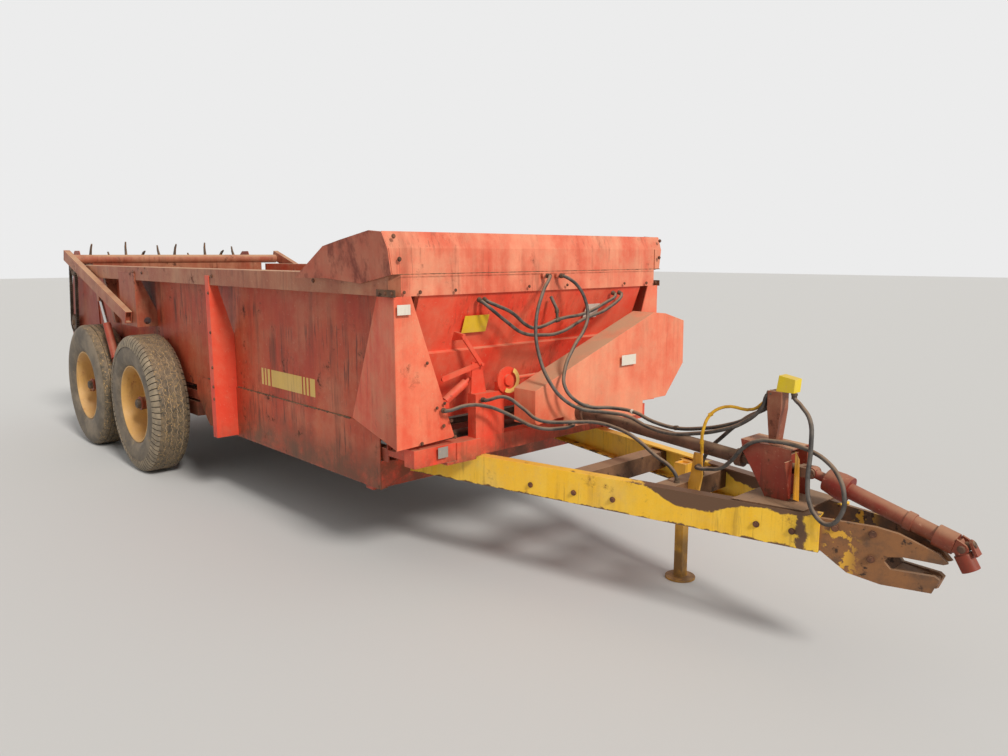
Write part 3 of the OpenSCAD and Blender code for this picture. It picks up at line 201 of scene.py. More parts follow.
def weathered_group():
    """Old paint: faded bands, chips, rust spots, two kinds of streaks, dust on top, mud low down."""
    graph, given = new_group("weathered_paint", ("Coat", "Faded", "Rust", "Dust"),
                             ("Fading", "Rusting", "Streaks", "Dusting", "Mud top"))
    place = graph.place()

    patches = graph.step(graph.noise(place, 1.7, 5.0, 0.6), 0.36, 0.64)
    clouds = graph.step(graph.noise(place, 11.0, 6.0, 0.7), 0.35, 0.75)
    washed = graph.step(graph.noise(graph.scaled(place, (9.0, 9.0, 0.7)), 1.0, 6.0, 0.6), 0.4, 0.66)
    faded = graph.plus(graph.times(patches, 0.5), graph.times(washed, 0.35))
    faded = graph.plus(faded, graph.times(clouds, 0.3))
    faded = graph.times(faded, given["Fading"])
    colour = graph.mix(faded, given["Coat"], given["Faded"])

    film = graph.step(graph.noise(place, 3.4, 7.0, 0.7), 0.42, 0.72)
    film = graph.times(film, graph.times(given["Fading"], 0.4))
    colour = graph.mix(film, colour, given["Dust"])
    specks = graph.step(graph.noise(place, 55.0, 5.0, 0.78), 0.6, 0.68)
    colour = graph.mix(graph.times(specks, 0.4), colour, PALE_SPECK)

    blotches = graph.noise(place, 2.6, 5.0, 0.6)
    runs = graph.noise(graph.scaled(place, (13.0, 13.0, 0.9)), 1.0, 7.0, 0.62)
    streaks = graph.times(graph.step(runs, 0.47, 0.72), graph.step(blotches, 0.34, 0.6))
    colour = graph.mix(graph.times(streaks, given["Streaks"]), colour, given["Rust"])
    drips = graph.noise(graph.scaled(place, (48.0, 48.0, 3.6)), 1.0, 5.0, 0.6)
    drips = graph.times(graph.step(drips, 0.54, 0.64), graph.step(blotches, 0.46, 0.58))
    drips = graph.times(drips, graph.times(given["Streaks"], 0.85))
    colour = graph.mix(drips, colour, DRIP)

    threshold = graph.minus(0.76, graph.times(given["Rusting"], 0.34))
    spots = graph.minus(graph.noise(place, 7.5, 10.0, 0.72), threshold)
    rust = graph.step(spots, 0.0, 0.035)
    halo = graph.times(graph.step(spots, -0.07, 0.02), 0.4)
    rust_tone = graph.step(graph.noise(place, 38.0, 5.0, 0.7), 0.3, 0.7)
    rust_tone = graph.mix(rust_tone, given["Rust"], OLD_RUST)
    colour = graph.mix(halo, colour, given["Rust"])
    colour = graph.mix(rust, colour, rust_tone)

    layer = graph.step(graph.split(graph.normal())[2], 0.25, 0.9)
    layer = graph.times(layer, graph.step(graph.noise(place, 5.0, 6.0, 0.65), 0.2, 0.6))
    layer = graph.times(layer, given["Dusting"])
    colour = graph.mix(layer, colour, given["Dust"])

    edge = graph.plus(given["Mud top"], graph.times(blotches, 0.25))
    mud = graph.step(graph.minus(edge, graph.split(place)[2]), 0.08, 0.3)
    mud = graph.times(mud, graph.step(graph.noise(place, 9.0, 8.0, 0.7), 0.25, 0.6))
    colour = graph.mix(graph.times(mud, 0.8), colour, MUD)

    grain = graph.noise(place, 160.0, 3.0, 0.6)
    colour = graph.mix(graph.times(grain, 0.14), colour, PAINT_GRAIN)
    rough = graph.plus(graph.times(graph.maths("MAXIMUM", rust, layer), 0.3), 0.5)
    height = graph.minus(0.5, graph.times(rust, 0.5))
    height = graph.plus(height, graph.times(grain, 0.35))
    graph.node("NodeGroupOutput", {"Colour": colour, "Roughness": rough, "Height": height})
    return graph.tree


def bare_group():
    """Bare metal, wood or rubber: two tones in patches, with dirt in spots and dust on top."""
    graph, given = new_group("bare_surface", ("Light", "Dark", "Dirt"),
                             ("Scale", "Soiling", "Dusting"))
    place = graph.place()
    wide = graph.noise(place, given["Scale"], 8.0, 0.68)
    colour = graph.mix(graph.step(wide, 0.36, 0.64), given["Dark"], given["Light"])
    spots = graph.noise(place, graph.times(given["Scale"], 3.1), 9.0, 0.7)
    limit = graph.minus(0.72, graph.times(given["Soiling"], 0.3))
    dirt = graph.step(graph.minus(spots, limit), 0.0, 0.07)
    colour = graph.mix(dirt, colour, given["Dirt"])
    layer = graph.step(graph.split(graph.normal())[2], 0.25, 0.95)
    layer = graph.times(layer, given["Dusting"])
    colour = graph.mix(layer, colour, LIGHT_DUST)
    grain = graph.noise(place, 130.0, 4.0, 0.65)
    colour = graph.mix(graph.times(grain, 0.2), colour, BARE_GRAIN)
    rough = graph.plus(graph.times(graph.maths("MAXIMUM", dirt, layer), 0.25), 0.6)
    height = graph.plus(graph.times(spots, 0.6), graph.times(grain, 0.5))
    graph.node("NodeGroupOutput", {"Colour": colour, "Roughness": rough, "Height": height})
    return graph.tree


WEATHERED = weathered_group()
BARE = bare_group()


def material(name, group, values, bump=0.25, metallic=0.0, specular=0.35, worn=None):
    """A Principled material from a group; worn gives a second colour and the mask it shows in."""
    made = bpy.data.materials.new(name)
    made.use_nodes = True
    made.node_tree.nodes.clear()
    graph = Graph(made.node_tree)
    source = graph.node("ShaderNodeGroup", node_tree=group)
    for key, value in values.items():
        source.inputs[key].default_value = value
    colour = source.outputs["Colour"]
    if worn:
        second, mask = worn
        colour = graph.mix(mask(graph), colour, second)
    bumped = graph.node("ShaderNodeBump", {"Height": source.outputs["Height"], "Strength": bump,
                                           "Distance": 0.002})
    shader = graph.node("ShaderNodeBsdfPrincipled", {
        "Base Color": colour, "Roughness": source.outputs["Roughness"],
        "Normal": bumped.outputs[0], "Metallic": metallic, "Specular IOR Level": specular})
    out = graph.node("ShaderNodeOutputMaterial")
    made.node_tree.links.new(shader.outputs[0], out.inputs[0])
    return made


def plain(name, colour, roughness=0.5, metallic=0.0):
    made = bpy.data.materials.new(name)
    made.use_nodes = True
    shader = made.node_tree.nodes["Principled BSDF"]
    shader.inputs["Base Color"].default_value = colour
    shader.inputs["Roughness"].default_value = roughness
    shader.inputs["Metallic"].default_value = metallic
    return made


def paint(name, coat, faded, fading=0.6, rusting=0.3, streaks=0.4, dusting=0.5, mud=0.45,
          rust=RUST, worn=None):
    return material(name, WEATHERED, {
        "Coat": coat, "Faded": faded, "Rust": rust, "Dust": DUST, "Fading": fading,
        "Rusting": rusting, "Streaks": streaks, "Dusting": dusting, "Mud top": mud}, worn=worn)


def bare(name, light, dark, dirt, scale=6.0, soiling=0.4, dusting=0.2, bump=0.4, metallic=0.0,
         specular=0.3, worn=None):
    return material(name, BARE, {"Light": light, "Dark": dark, "Dirt": dirt, "Scale": scale,
                                 "Soiling": soiling, "Dusting": dusting}, bump, metallic, specular,
                    worn)


TONGUE_LOW, TONGUE_HIGH = (corner.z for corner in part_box("tongue_channels"))


def worn_tongue(graph):
    """Bare along the channels' edges, deepest behind the deck's end, and at the forward end."""
    place = graph.place()
    split = graph.split(place)
    x = graph.minus(split[0], FRONT)
    ragged = graph.times(graph.noise(place, 16.0, 7.0, 0.65), 0.05)
    depth = graph.times(graph.step(x, 0.86, 1.02), graph.step(x, 1.32, 1.14))
    depth = graph.minus(graph.times(depth, 0.055), 0.032)
    reach = graph.times(graph.step(x, 0.7, 0.95), graph.step(x, 1.6, 1.5))
    depth = graph.plus(depth, graph.times(reach, 0.022))
    top = graph.minus(TONGUE_HIGH, graph.plus(depth, ragged))
    above = graph.step(graph.minus(split[2], top), -0.002, 0.004)
    low = graph.plus(TONGUE_LOW - 0.02, ragged)
    below = graph.step(graph.minus(low, split[2]), -0.002, 0.004)
    end = graph.plus(x, graph.times(ragged, 2.2))
    end = graph.times(graph.step(end, 1.55, 1.56), graph.step(end, 1.59, 1.575))
    return graph.maths("MAXIMUM", above, graph.maths("MAXIMUM", below, end))


def sideways_shade_and_rust(graph):
    """Painted shade and rust on the faces that look sideways: dark brown over all of them, more in
    patches.
    """
    aside = graph.maths("ABSOLUTE", graph.split(graph.normal())[1])
    patches = graph.noise(graph.scaled(graph.place(), (5.0, 5.0, 3.2)), 1.0, 9.0, 0.68)
    patches = graph.times(graph.step(patches, 0.46, 0.6), 0.48)
    return graph.times(graph.step(aside, 0.5, 0.8), graph.plus(patches, 0.46))


def left_paint(graph):
    """Flakes of paint that remain on the hitch plates' rear half."""
    place = graph.place()
    x = graph.minus(graph.split(place)[0], FRONT)
    flakes = graph.step(graph.noise(place, 15.0, 8.0, 0.62), 0.53, 0.55)
    reach = graph.times(graph.step(x, 1.58, 1.62), graph.step(x, 1.74, 1.66))
    return graph.times(flakes, reach)


# columns of a paint: coat, faded tone, fading, rusting, streaks, dusting, top of the mud in metres
FRONT_RED = paint("front_red", rgb(232, 64, 42), rgb(242, 118, 86), 0.66, 0.24, 0.3, 0.55, 0.72)
POST_RED = paint("post_red", rgb(224, 80, 56), rgb(244, 146, 110), 0.84, 0.26, 0.25, 0.75, 0.5)
CASE_RED = paint("case_red", rgb(222, 100, 70), rgb(246, 158, 122), 0.9, 0.14, 0.12, 0.9)
# The hood's faces that look sideways take a dark brown: painted shade over all of them, with rust in
# patches.
HOOD_RED = paint("hood_red", rgb(214, 92, 66), rgb(246, 160, 126), 0.9, 0.26, 0.35, 0.5,
                 worn=(rgb(112, 42, 24), sideways_shade_and_rust))
# The side walls' coat and faded tone are darker than the front's: painted shade on the sideways walls;
# their heavier streaks are rust.
SIDE_RED_SHADED = paint("side_red", rgb(184, 62, 38), rgb(206, 106, 68), 0.66, 0.4, 0.85, 0.42, 0.66)
BRIGHT_RED = paint("stake_red", rgb(228, 68, 46), rgb(236, 106, 76), 0.6, 0.24, 0.3, 0.45, 0.5)
RAIL_RED = paint("rail_red", rgb(160, 84, 58), rgb(190, 134, 100), 0.8, 0.4, 0.35, 0.9)
GATE_RED = paint("gate_red", rgb(158, 74, 52), rgb(186, 130, 98), 0.8, 0.45, 0.5, 0.9)
DULL_RED = paint("dull_red", rgb(156, 54, 38), rgb(176, 90, 66), 0.6, 0.36, 0.4, 0.6, 0.6)
GUARD_RED = paint("guard_red", rgb(142, 44, 28), rgb(154, 86, 58), 0.5, 0.5, 0.6, 1.0, 0.3)
STAND_RED = paint("stand_red", rgb(132, 62, 42), rgb(146, 96, 66), 0.8, 0.55, 0.5, 0.6, 0.3)
SHAFT_RED = paint("shaft_red", rgb(132, 32, 22), rgb(122, 76, 48), 0.6, 0.4, 0.3, 0.45, 0.3)
YELLOW = paint("yellow", rgb(232, 164, 34), rgb(242, 194, 84), 0.6, 0.34, 0.45, 0.5, 0.3)
TONGUE_YELLOW = paint("tongue_yellow", rgb(254, 198, 40), rgb(255, 224, 104), 0.66, 0.3, 0.3, 0.28,
                      0.3, worn=(rgb(104, 76, 56), worn_tongue))
BLOCK_YELLOW = paint("block_yellow", rgb(232, 204, 24), rgb(236, 214, 60), 0.4, 0.2, 0.2, 0.3, 0)
RIM_YELLOW = paint("rim_yellow", rgb(206, 160, 88), rgb(222, 184, 130), 0.7, 0.44, 0.2, 0.3, 0.1,
                   rgb(170, 108, 80))
# columns of a bare surface: light, dark, dirt, scale, soiling, dusting, bump
BROWN_STEEL = bare("brown_steel", rgb(132, 96, 70), rgb(84, 60, 45), rgb(58, 44, 35), 5.0, 0.5, 0.6)
HITCH_STEEL = bare("hitch_steel", rgb(152, 104, 66), rgb(98, 76, 62), rgb(66, 50, 42), 6.0, 0.5, 0.4,
                   worn=(rgb(222, 168, 62), left_paint))
DARK_STEEL = bare("dark_steel", rgb(84, 70, 58), rgb(50, 43, 37), rgb(104, 78, 56), 9.0, 0.4,
                  metallic=0.3)
TINE_STEEL = bare("tine_steel", rgb(128, 100, 78), rgb(78, 62, 50), rgb(142, 98, 66), 9.0, 0.5)
TUBE_STEEL = bare("tube_steel", rgb(120, 84, 66), rgb(86, 62, 50), rgb(64, 48, 40), 6.0, 0.5, 0.5)
# Dark beads along the seams take this colour: painted shade along the seams.
SEAM_SHADE = bare("dirt", rgb(120, 92, 66), rgb(74, 56, 42), rgb(52, 40, 32), 12.0, 0.4, 0.2, 0.6)
STRAW = bare("straw", rgb(190, 164, 112), rgb(154, 130, 88), rgb(120, 98, 66), 20.0, 0.3, 0.1, 0.2)
WOOD = bare("wood", rgb(118, 92, 68), rgb(76, 58, 44), rgb(48, 39, 31), 4.0, 0.5, 0.1)
RUBBER = bare("tyre_rubber", rgb(140, 126, 108), rgb(100, 91, 80), rgb(156, 134, 102), 5.0, 0.4,
              0.2, 0.5)
TREAD = bare("tread_rubber", rgb(126, 110, 88), rgb(78, 72, 63), rgb(188, 154, 104), 22.0, 0.55, 0.2,
             0.8)
GROOVE = bare("groove_dust", rgb(172, 150, 120), rgb(138, 118, 94), rgb(112, 96, 76), 14.0, 0.4, 0.1)
BAND = bare("shoulder_rubber", rgb(166, 150, 126), rgb(122, 111, 96), rgb(176, 152, 116), 9.0, 0.4,
            0.3, 0.6)
# The shoulder slots' dark colour is painted shade in the slots.
SLOT_SHADE = bare("slot_shade", rgb(84, 75, 62), rgb(58, 52, 45), rgb(110, 90, 64), 12.0, 0.4, 0.1)
HOSE = bare("hose_rubber", rgb(92, 86, 80), rgb(44, 42, 42), rgb(124, 106, 88), 16.0, 0.35, 0.6, 0.1,
            specular=0.5)
BRIGHT = plain("bright_rod", rgb(196, 194, 190), 0.25, 0.9)
ROPE = bare("rope", rgb(226, 176, 44), rgb(186, 136, 34), rgb(130, 100, 50), 30.0, 0.3, 0.1, 0.4)
BOLT = bare("bolt_steel", rgb(128, 84, 62), rgb(84, 56, 44), rgb(58, 43, 36), 20.0, 0.4)
FITTING = bare("fitting_steel", rgb(120, 104, 88), rgb(74, 66, 58), rgb(96, 66, 46), 24.0, 0.4,
               metallic=0.5)
LABEL_YELLOW = paint("label_yellow", rgb(232, 190, 40), rgb(236, 206, 90), 0.4, 0.15, 0.2, 0.2, 0)
LABEL_CREAM = paint("label_cream", rgb(228, 190, 100), rgb(234, 206, 140), 0.5, 0.15, 0.2, 0.2, 0)
LABEL_WHITE = paint("label_white", rgb(226, 222, 210), rgb(206, 196, 182), 0.4, 0.12, 0.2, 0.2, 0)
LABEL_GREY = paint("label_grey", rgb(150, 146, 140), rgb(120, 112, 104), 0.4, 0.2, 0.2, 0.2, 0)

# finish: nodes
FINISHES = {
    FRONT_RED: ("front_wall", "front_beam", "feed_disc"),
    POST_RED: ("corner_posts",),
    CASE_RED: ("chain_shield",),
    HOOD_RED: ("hood", "top_rail_front"),
    SIDE_RED_SHADED: ("side_walls",),
    BRIGHT_RED: ("stakes", "feed_post", "feed_cylinder"),
    RAIL_RED: ("side_rails",),
    GATE_RED: ("end_gate", "lift_arms", "gate_brackets"),
    DULL_RED: ("sills", "cross_members", "walking_beams", "beater_plates", "rear_gearbox",
               "gate_cylinders"),
    GUARD_RED: ("shaft_guard",),
    STAND_RED: ("hose_stand",),
    SHAFT_RED: ("driveline",),
    YELLOW: ("jack_socket", "jack_leg", "latch_lever"),
    TONGUE_YELLOW: ("tongue_channels",),
    BLOCK_YELLOW: ("hose_block",),
    RIM_YELLOW: ("rim_front_right", "rim_front_left", "rim_rear_right", "rim_rear_left"),
    BROWN_STEEL: ("tongue_deck",),
    HITCH_STEEL: ("hitch_plates",),
    TINE_STEEL: ("upper_beater", "lower_beater"),
    DARK_STEEL: ("apron", "apron_shafts", "side_shaft", "pivot_shaft", "drive_chain"),
    TUBE_STEEL: ("input_shaft",),
    WOOD: ("floor_boards",),
    BRIGHT: ("gate_rods",),
}
BEVEL = 0.0015
FINE_BEVEL = ("apron", "upper_beater", "lower_beater", "drive_chain")


def link(name, data):
    made = bpy.data.objects.new(name, data)
    scene.collection.objects.link(made)
    return made


def dress(name, finish):
    """A merged copy of a node, with smooth curves and small edge bevels."""
    body = nodes[name]["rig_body"]
    mesh = nodes[name].data.copy()
    work = bmesh.new()
    work.from_mesh(mesh)
    bmesh.ops.remove_doubles(work, verts=work.verts, dist=0.00001)
    bmesh.ops.dissolve_limit(work, angle_limit=math.radians(0.5), verts=work.verts,
                             edges=work.edges)
    work.to_mesh(mesh)
    work.free()
    mesh.shade_smooth()
    mesh.set_sharp_from_angle(angle=math.radians(32))
    mesh.materials.clear()
    mesh.materials.append(finish)
    made = link(name + "_dressed", mesh)
    if name not in FINE_BEVEL:
        bevel = made.modifiers.new("edges", "BEVEL")
        bevel.width = BEVEL
        bevel.segments = 2
        bevel.limit_method = "ANGLE"
        bevel.angle_limit = math.radians(40)
        bevel.harden_normals = True
    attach(made, body)
    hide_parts(name)


# Cords: the hoses and the pull rope, along the same points as their solids

HOSE_WIDTH = 0.018
ROPE_WIDTH = 0.014


def lay_cord(name, node, points, diameter, finish):
    curve = bpy.data.curves.new(name, "CURVE")
    curve.dimensions = "3D"
    curve.bevel_depth = diameter / 2
    curve.bevel_resolution = 3
    curve.resolution_u = 5
    curve.use_fill_caps = True
    spline = curve.splines.new("BEZIER")
    spline.bezier_points.add(len(points) - 1)
    for knot, place in zip(spline.bezier_points, points):
        knot.co = at(*place)
        knot.handle_left_type = knot.handle_right_type = "AUTO"
    curve.materials.append(finish)
    made = link(name, curve)
    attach(made, "frame")
    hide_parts(node)
    length = sum((at(*b) - at(*a)).length for a, b in zip(points, points[1:]))
    tuple(at(*points[0]))


LEAN = math.radians(21)
RAIL_LOW = 1430
WALL_BACK = 12
SEAT = 0.3


def off_wall(y, z, out=0.0):
    """A point at a distance in front of the leaning front wall."""
    return (SEAT - WALL_BACK - (RAIL_LOW - z) * math.tan(LEAN) + out * math.cos(LEAN), y,
            z - out * math.sin(LEAN))


STAND_BACK = 1306 - SEAT
HOSE_ROUTES = {
    "hose_long_right": [
        (15 + SEAT, -30, 1507), (31 + SEAT, -30, 1507), (62, -66, 1488), (90, -130, 1440),
        (132, -228, 1280), (185, -260, 1130), (285, -268, 985), (330, -225, 915),
        (375, -146, 866), (440, -68, 852), (560, -36, 846), (700, -48, 815), (830, -50, 806),
        (960, -48, 828), (1080, -46, 862), (1180, -40, 908), (1262, -30, 985),
        (STAND_BACK - 16, -26, 1050), (STAND_BACK, -26, 1050)],
    "hose_long_left": [
        (15 + SEAT, 73, 1505), (31 + SEAT, 73, 1505), (60, 98, 1488), (84, 138, 1448),
        (108, 166, 1380), (135, 158, 1300), (168, 95, 1230), (205, -20, 1158), (268, -165, 1035),
        (302, -196, 975), (340, -172, 916), (385, -100, 874), (448, -22, 868), (560, 8, 862),
        (700, -12, 836), (830, -14, 826), (960, -12, 845), (1080, -10, 878), (1180, -8, 922),
        (1262, -4, 992), (STAND_BACK - 16, -5, 1050), (STAND_BACK, -5, 1050)],
    "hose_front_loop": [
        (1395, -20, 1062 - SEAT), (1395, -20, 1046), (1432, -36, 1020), (1488, -65, 971),
        (1512, -95, 880), (1526, -135, 737), (1543, -150, 674), (1583, -165, 623),
        (1632, -170, 607), (1677, -165, 658), (1676, -150, 728), (1637, -120, 787),
        (1575, -90, 827), (1505, -72, 850), (1422, -68, 862), (1350, -76, 864),
        (1280, -92, 856), (1215, -96, 810), (1165, -90, 750), (1110, -84, 705),
        (1050, -84, 690), (1005, -86, 684), (990, -72 - SEAT, 684), (990, -56 - SEAT, 684)],
    "hose_left_drop": [
        (STAND_BACK, 10, 1006), (STAND_BACK - 16, 10, 1006), (1262, 20, 980), (1150, 50, 915),
        (1009, 80, 795), (950, 90, 735), (910, 95, 665), (905, 95, 616), (905, 95, 600 + SEAT)],
    "hose_wall_upper": [
        off_wall(-436, 1400), off_wall(-436, 1400, 24), (30, -404, 1372), (30, -297, 1330),
        (30, -184, 1256), (30, -133, 1243), (30, 55, 1279), (30, 254, 1298), (26, 420, 1345),
        off_wall(551, 1400, 24), off_wall(551, 1400)],
    "hose_wall_lower": [
        off_wall(-470, 1400), off_wall(-470, 1400, 24), (30, -444, 1360), (30, -338, 1290),
        (30, -219, 1222), (30, -88, 1203), (30, 48, 1205), (30, 255, 1270), (28, 440, 1312),
        off_wall(608, 1400, 24), off_wall(608, 1400)],
    "hose_feed_upper": [
        (SEAT, -470, 905), (25, -470, 905), (100, -412, 925), (180, -365, 873), (262, -348, 828),
        (302, -290, 812), (340, -160, 800), (420, -95, 800), (520, -80, 790), (640, -85, 765),
        (780, -95, 700), (880, -102, 655), (905, -102, 616), (905, -102, 600 + SEAT)],
    "hose_feed_lower": [
        (SEAT, -720, 885), (25, -720, 885), (62, -630, 905), (72, -500, 885), (100, -420, 850),
        (160, -374, 815), (235, -356, 792), (280, -318, 780), (304, -240, 773), (305, -170, 770),
        (280, -104, 770), (265, -100, 770), (250 + SEAT, -100, 770)],
}
ROPE_ROUTE = [
    (996, -50, 743 + SEAT), (996, -50, 759), (1004, -66, 800), (1012, -74, 850),
    (1032, -50, 925), (1083, -20, 962), (1205, 0, 966), (1245, 8, 998),
    (STAND_BACK - 16, 15, 1050), (STAND_BACK, 15, 1050)]

for route_name, route in HOSE_ROUTES.items():
    lay_cord(route_name, "hoses", route, HOSE_WIDTH, HOSE)
lay_cord("pull_rope_line", "pull_rope", ROPE_ROUTE, ROPE_WIDTH, ROPE)

for finish, members in FINISHES.items():
    for member in members:
        dress(member, finish)


# Helpers for the pieces that are added

def solid(name, points, faces, finish, body, sharp=30):
    mesh = bpy.data.meshes.new(name)
    mesh.from_pydata(points, [], faces)
    work = bmesh.new()
    work.from_mesh(mesh)
    bmesh.ops.recalc_face_normals(work, faces=work.faces)
    work.to_mesh(mesh)
    work.free()
    mesh.shade_smooth()
    mesh.set_sharp_from_angle(angle=math.radians(sharp))
    mesh.materials.append(finish)
    made = link(name, mesh)
    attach(made, body)
    return made


def lathed(name, profiles, finish, body="frame", sides=20):
    """Turned pieces in one mesh; profiles' columns: start, direction, list of (along, radius)."""
    points, faces = [], []
    for start, aim, outline in profiles:
        aim = Vector(aim).normalized()
        across = aim.orthogonal().normalized()
        beside = aim.cross(across)
        first = len(points)
        for along, radius in outline:
            for step in range(sides):
                angle = math.tau * step / sides
                points.append(start + aim * along / 1000 + (across * math.cos(angle)
                                                             + beside * math.sin(angle)) * radius / 1000)
        for ring in range(len(outline) - 1):
            for step in range(sides):
                after = (step + 1) % sides
                low, high = first + ring * sides, first + (ring + 1) * sides
                faces.append((low + step, low + after, high + after, high + step))
        faces.append(tuple(first + step for step in reversed(range(sides))))
        faces.append(tuple(first + (len(outline) - 1) * sides + step for step in range(sides)))
    solid(name, points, faces, finish, body)


def plate(name, corners, finish, normal, thickness=0.8, body="frame"):
    """A flat sheet whose corners run round it on the carrying face, in millimetres."""
    normal = Vector(normal).normalized()
    base = [at(*c) for c in corners]
    count = len(base)
    points = [p + normal * thickness / 1000 for p in base] + [p - normal * 0.0008 for p in base]
    faces = [tuple(range(count)), tuple(reversed(range(count, 2 * count)))]
    faces += [(i, i + count, (i + 1) % count + count, (i + 1) % count) for i in range(count)]
    solid(name, points, faces, finish, body)


# Tyres with their worn treads

RIM_SEAT = 0.29
BLOCKS = 72
BLOCK_CUTS = (0.0, 0.01, 0.15, 0.16, 0.58)


def mirrored(places, total):
    """The places and their partners at the other end of an outline."""
    return {*places, *(total - place for place in places)}


def tyre(name, style):
    """A revolved tyre; 'ribs' has straight grooves, 'worn' zigzags and a band of shoulder blocks."""
    low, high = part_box(name)
    centre = (low + high) / 2
    radius = (high.z - low.z) / 2
    half = (high.y - low.y) / 2
    worn = style == "worn"
    side = [(RIM_SEAT, half - 0.03), (RIM_SEAT + 0.012, half - 0.017),
            (RIM_SEAT + 0.045, half - 0.006), (RIM_SEAT + 0.1, half - 0.001),
            (radius - 0.086, half - (0.006 if worn else 0.001)), (radius - 0.082, half - 0.001),
            (radius - 0.045, half - 0.008), (radius - 0.021, half - 0.019),
            (radius - 0.006, half - 0.035)]
    tread = [(radius - 0.002, half - 0.046)]
    depth, wave = (0.0035, 0.005) if worn else (0.009, 0.0)
    for groove in (0.0615, 0.0205):
        tread += [(radius, groove + 0.005), (radius - depth, groove + 0.003),
                  (radius - depth, groove - 0.003), (radius, groove - 0.005)]
    outline = side + tread
    outline += [(r, -y) for r, y in reversed(outline)]
    count = len(outline)
    edge = len(side)
    shoulder = mirrored((5, 6, 7, 8), count - 1)
    steps = BLOCKS * len(BLOCK_CUTS)
    points, faces = [], []
    for step in range(steps):
        block, cut = divmod(step, len(BLOCK_CUTS))
        angle = math.tau * (block + BLOCK_CUTS[cut]) / BLOCKS
        notch = 0.005 if worn and cut in (1, 2) else 0
        shift = wave * (4 * abs(BLOCK_CUTS[cut] - 0.5) - 1)
        for index, (r, y) in enumerate(outline):
            if index in shoulder:
                r -= notch
                y -= math.copysign(notch, y)
            elif edge < index < count - edge - 1:
                y += shift
            points.append((centre.x + r * math.cos(angle), centre.y + y,
                           centre.z + r * math.sin(angle)))
    for step in range(steps):
        here, there = step * count, (step + 1) % steps * count
        for index in range(count):
            after = (index + 1) % count
            faces.append((here + index, here + after, there + after, there + index))
    made = solid(name + "_tread", points, faces, RUBBER, nodes[name]["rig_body"], 40)
    for finish in (TREAD, GROOVE, BAND, SLOT_SHADE):
        made.data.materials.append(finish)
    band = mirrored((5, 6, 7), count - 2)
    bottoms = mirrored((edge + 2, edge + 6), count - 2)
    for index, face in enumerate(made.data.polygons):
        step, ring = divmod(index, count)
        # Slot faces in the shoulder band take the dark fifth finish, painted shade in the slots.
        if worn and ring in band:
            face.material_index = 4 if step % len(BLOCK_CUTS) < 3 else 3
        elif (face.center - centre).xz.length > radius - 0.02:
            face.material_index = 2 if ring in bottoms else 1
    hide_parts(name)
    return centre, radius, half


def straw(name, body, centre, radius, half, count, seed):
    """Dried grass that sticks to a tread: short bent blades, none where the tyre stands."""
    draw = random.Random(seed)
    points, faces = [], []
    while len(faces) < 2 * count:
        angle = draw.uniform(0, math.tau)
        if math.sin(angle) < -0.85:
            continue
        across = draw.uniform(-half + 0.05, half - 0.05)
        turn = draw.uniform(0, math.pi)
        length = draw.uniform(0.01, 0.034)
        bend = draw.uniform(-0.5, 0.5)
        first = len(points)
        for piece, width in enumerate((0.0008, 0.001, 0.0004)):
            lift = radius + 0.0006 + 0.0015 * piece
            for edge in (-width, width):
                around = angle + edge * math.sin(turn) / radius
                points.append((centre.x + lift * math.cos(around),
                               centre.y + across + edge * math.cos(turn),
                               centre.z + lift * math.sin(around)))
            angle += length / 2 * math.cos(turn) / radius
            across -= length / 2 * math.sin(turn)
            turn += bend
        faces += [(first, first + 1, first + 3, first + 2),
                  (first + 2, first + 3, first + 5, first + 4)]
    solid(name, points, faces, STRAW, body)


# columns: tyre, style, blades of straw
TYRES = (("front_right", "worn", 420), ("front_left", "worn", 420),
         ("rear_right", "ribs", 120), ("rear_left", "ribs", 120))
for seed, (place, style, blades) in enumerate(TYRES):
    measures = tyre("tyre_" + place, style)
    straw("straw_" + place, "wheel_" + place, *measures, blades, seed)


# Bolt heads: one mesh per body, placed by geometry nodes on points that carry aim and size

# sizes of a head and its washer, as shares of the head's radius
HEAD_SIZES = {"Head radius": 1.0, "Head depth": 1.5, "Washer radius": 1.35, "Washer depth": 0.3}


def head_tree():
    tree = bpy.data.node_groups.new("bolt_heads", "GeometryNodeTree")
    tree.interface.new_socket(name="Points", in_out="INPUT", socket_type="NodeSocketGeometry")
    tree.interface.new_socket(name="Finish", in_out="INPUT", socket_type="NodeSocketMaterial")
    for label in HEAD_SIZES:
        tree.interface.new_socket(name=label, in_out="INPUT", socket_type="NodeSocketFloat")
    tree.interface.new_socket(name="Heads", in_out="OUTPUT", socket_type="NodeSocketGeometry")
    graph = Graph(tree)
    given = graph.node("NodeGroupInput").outputs
    aim = graph.node("GeometryNodeInputNamedAttribute", {"Name": "aim"}, data_type="FLOAT_VECTOR")
    size = graph.node("GeometryNodeInputNamedAttribute", {"Name": "size"}, data_type="FLOAT")
    washer = graph.node("GeometryNodeMeshCylinder", {
        "Vertices": 14, "Radius": given["Washer radius"], "Depth": given["Washer depth"]})
    head = graph.node("GeometryNodeMeshCylinder", {
        "Vertices": 6, "Radius": given["Head radius"], "Depth": given["Head depth"]})
    bolt = graph.node("GeometryNodeJoinGeometry")
    tree.links.new(washer.outputs["Mesh"], bolt.inputs[0])
    tree.links.new(head.outputs["Mesh"], bolt.inputs[0])
    turn = graph.node("FunctionNodeAlignRotationToVector", {"Vector": aim.outputs[0]}, axis="Z")
    placed = graph.node("GeometryNodeInstanceOnPoints", {
        "Points": given["Points"], "Instance": bolt.outputs[0], "Rotation": turn.outputs[0],
        "Scale": size.outputs[0]})
    real = graph.node("GeometryNodeRealizeInstances", {0: placed.outputs[0]})
    done = graph.node("GeometryNodeSetMaterial", {"Geometry": real.outputs[0],
                                                  "Material": given["Finish"]})
    graph.node("NodeGroupOutput", {0: done.outputs[0]})
    return tree


HEADS = head_tree()


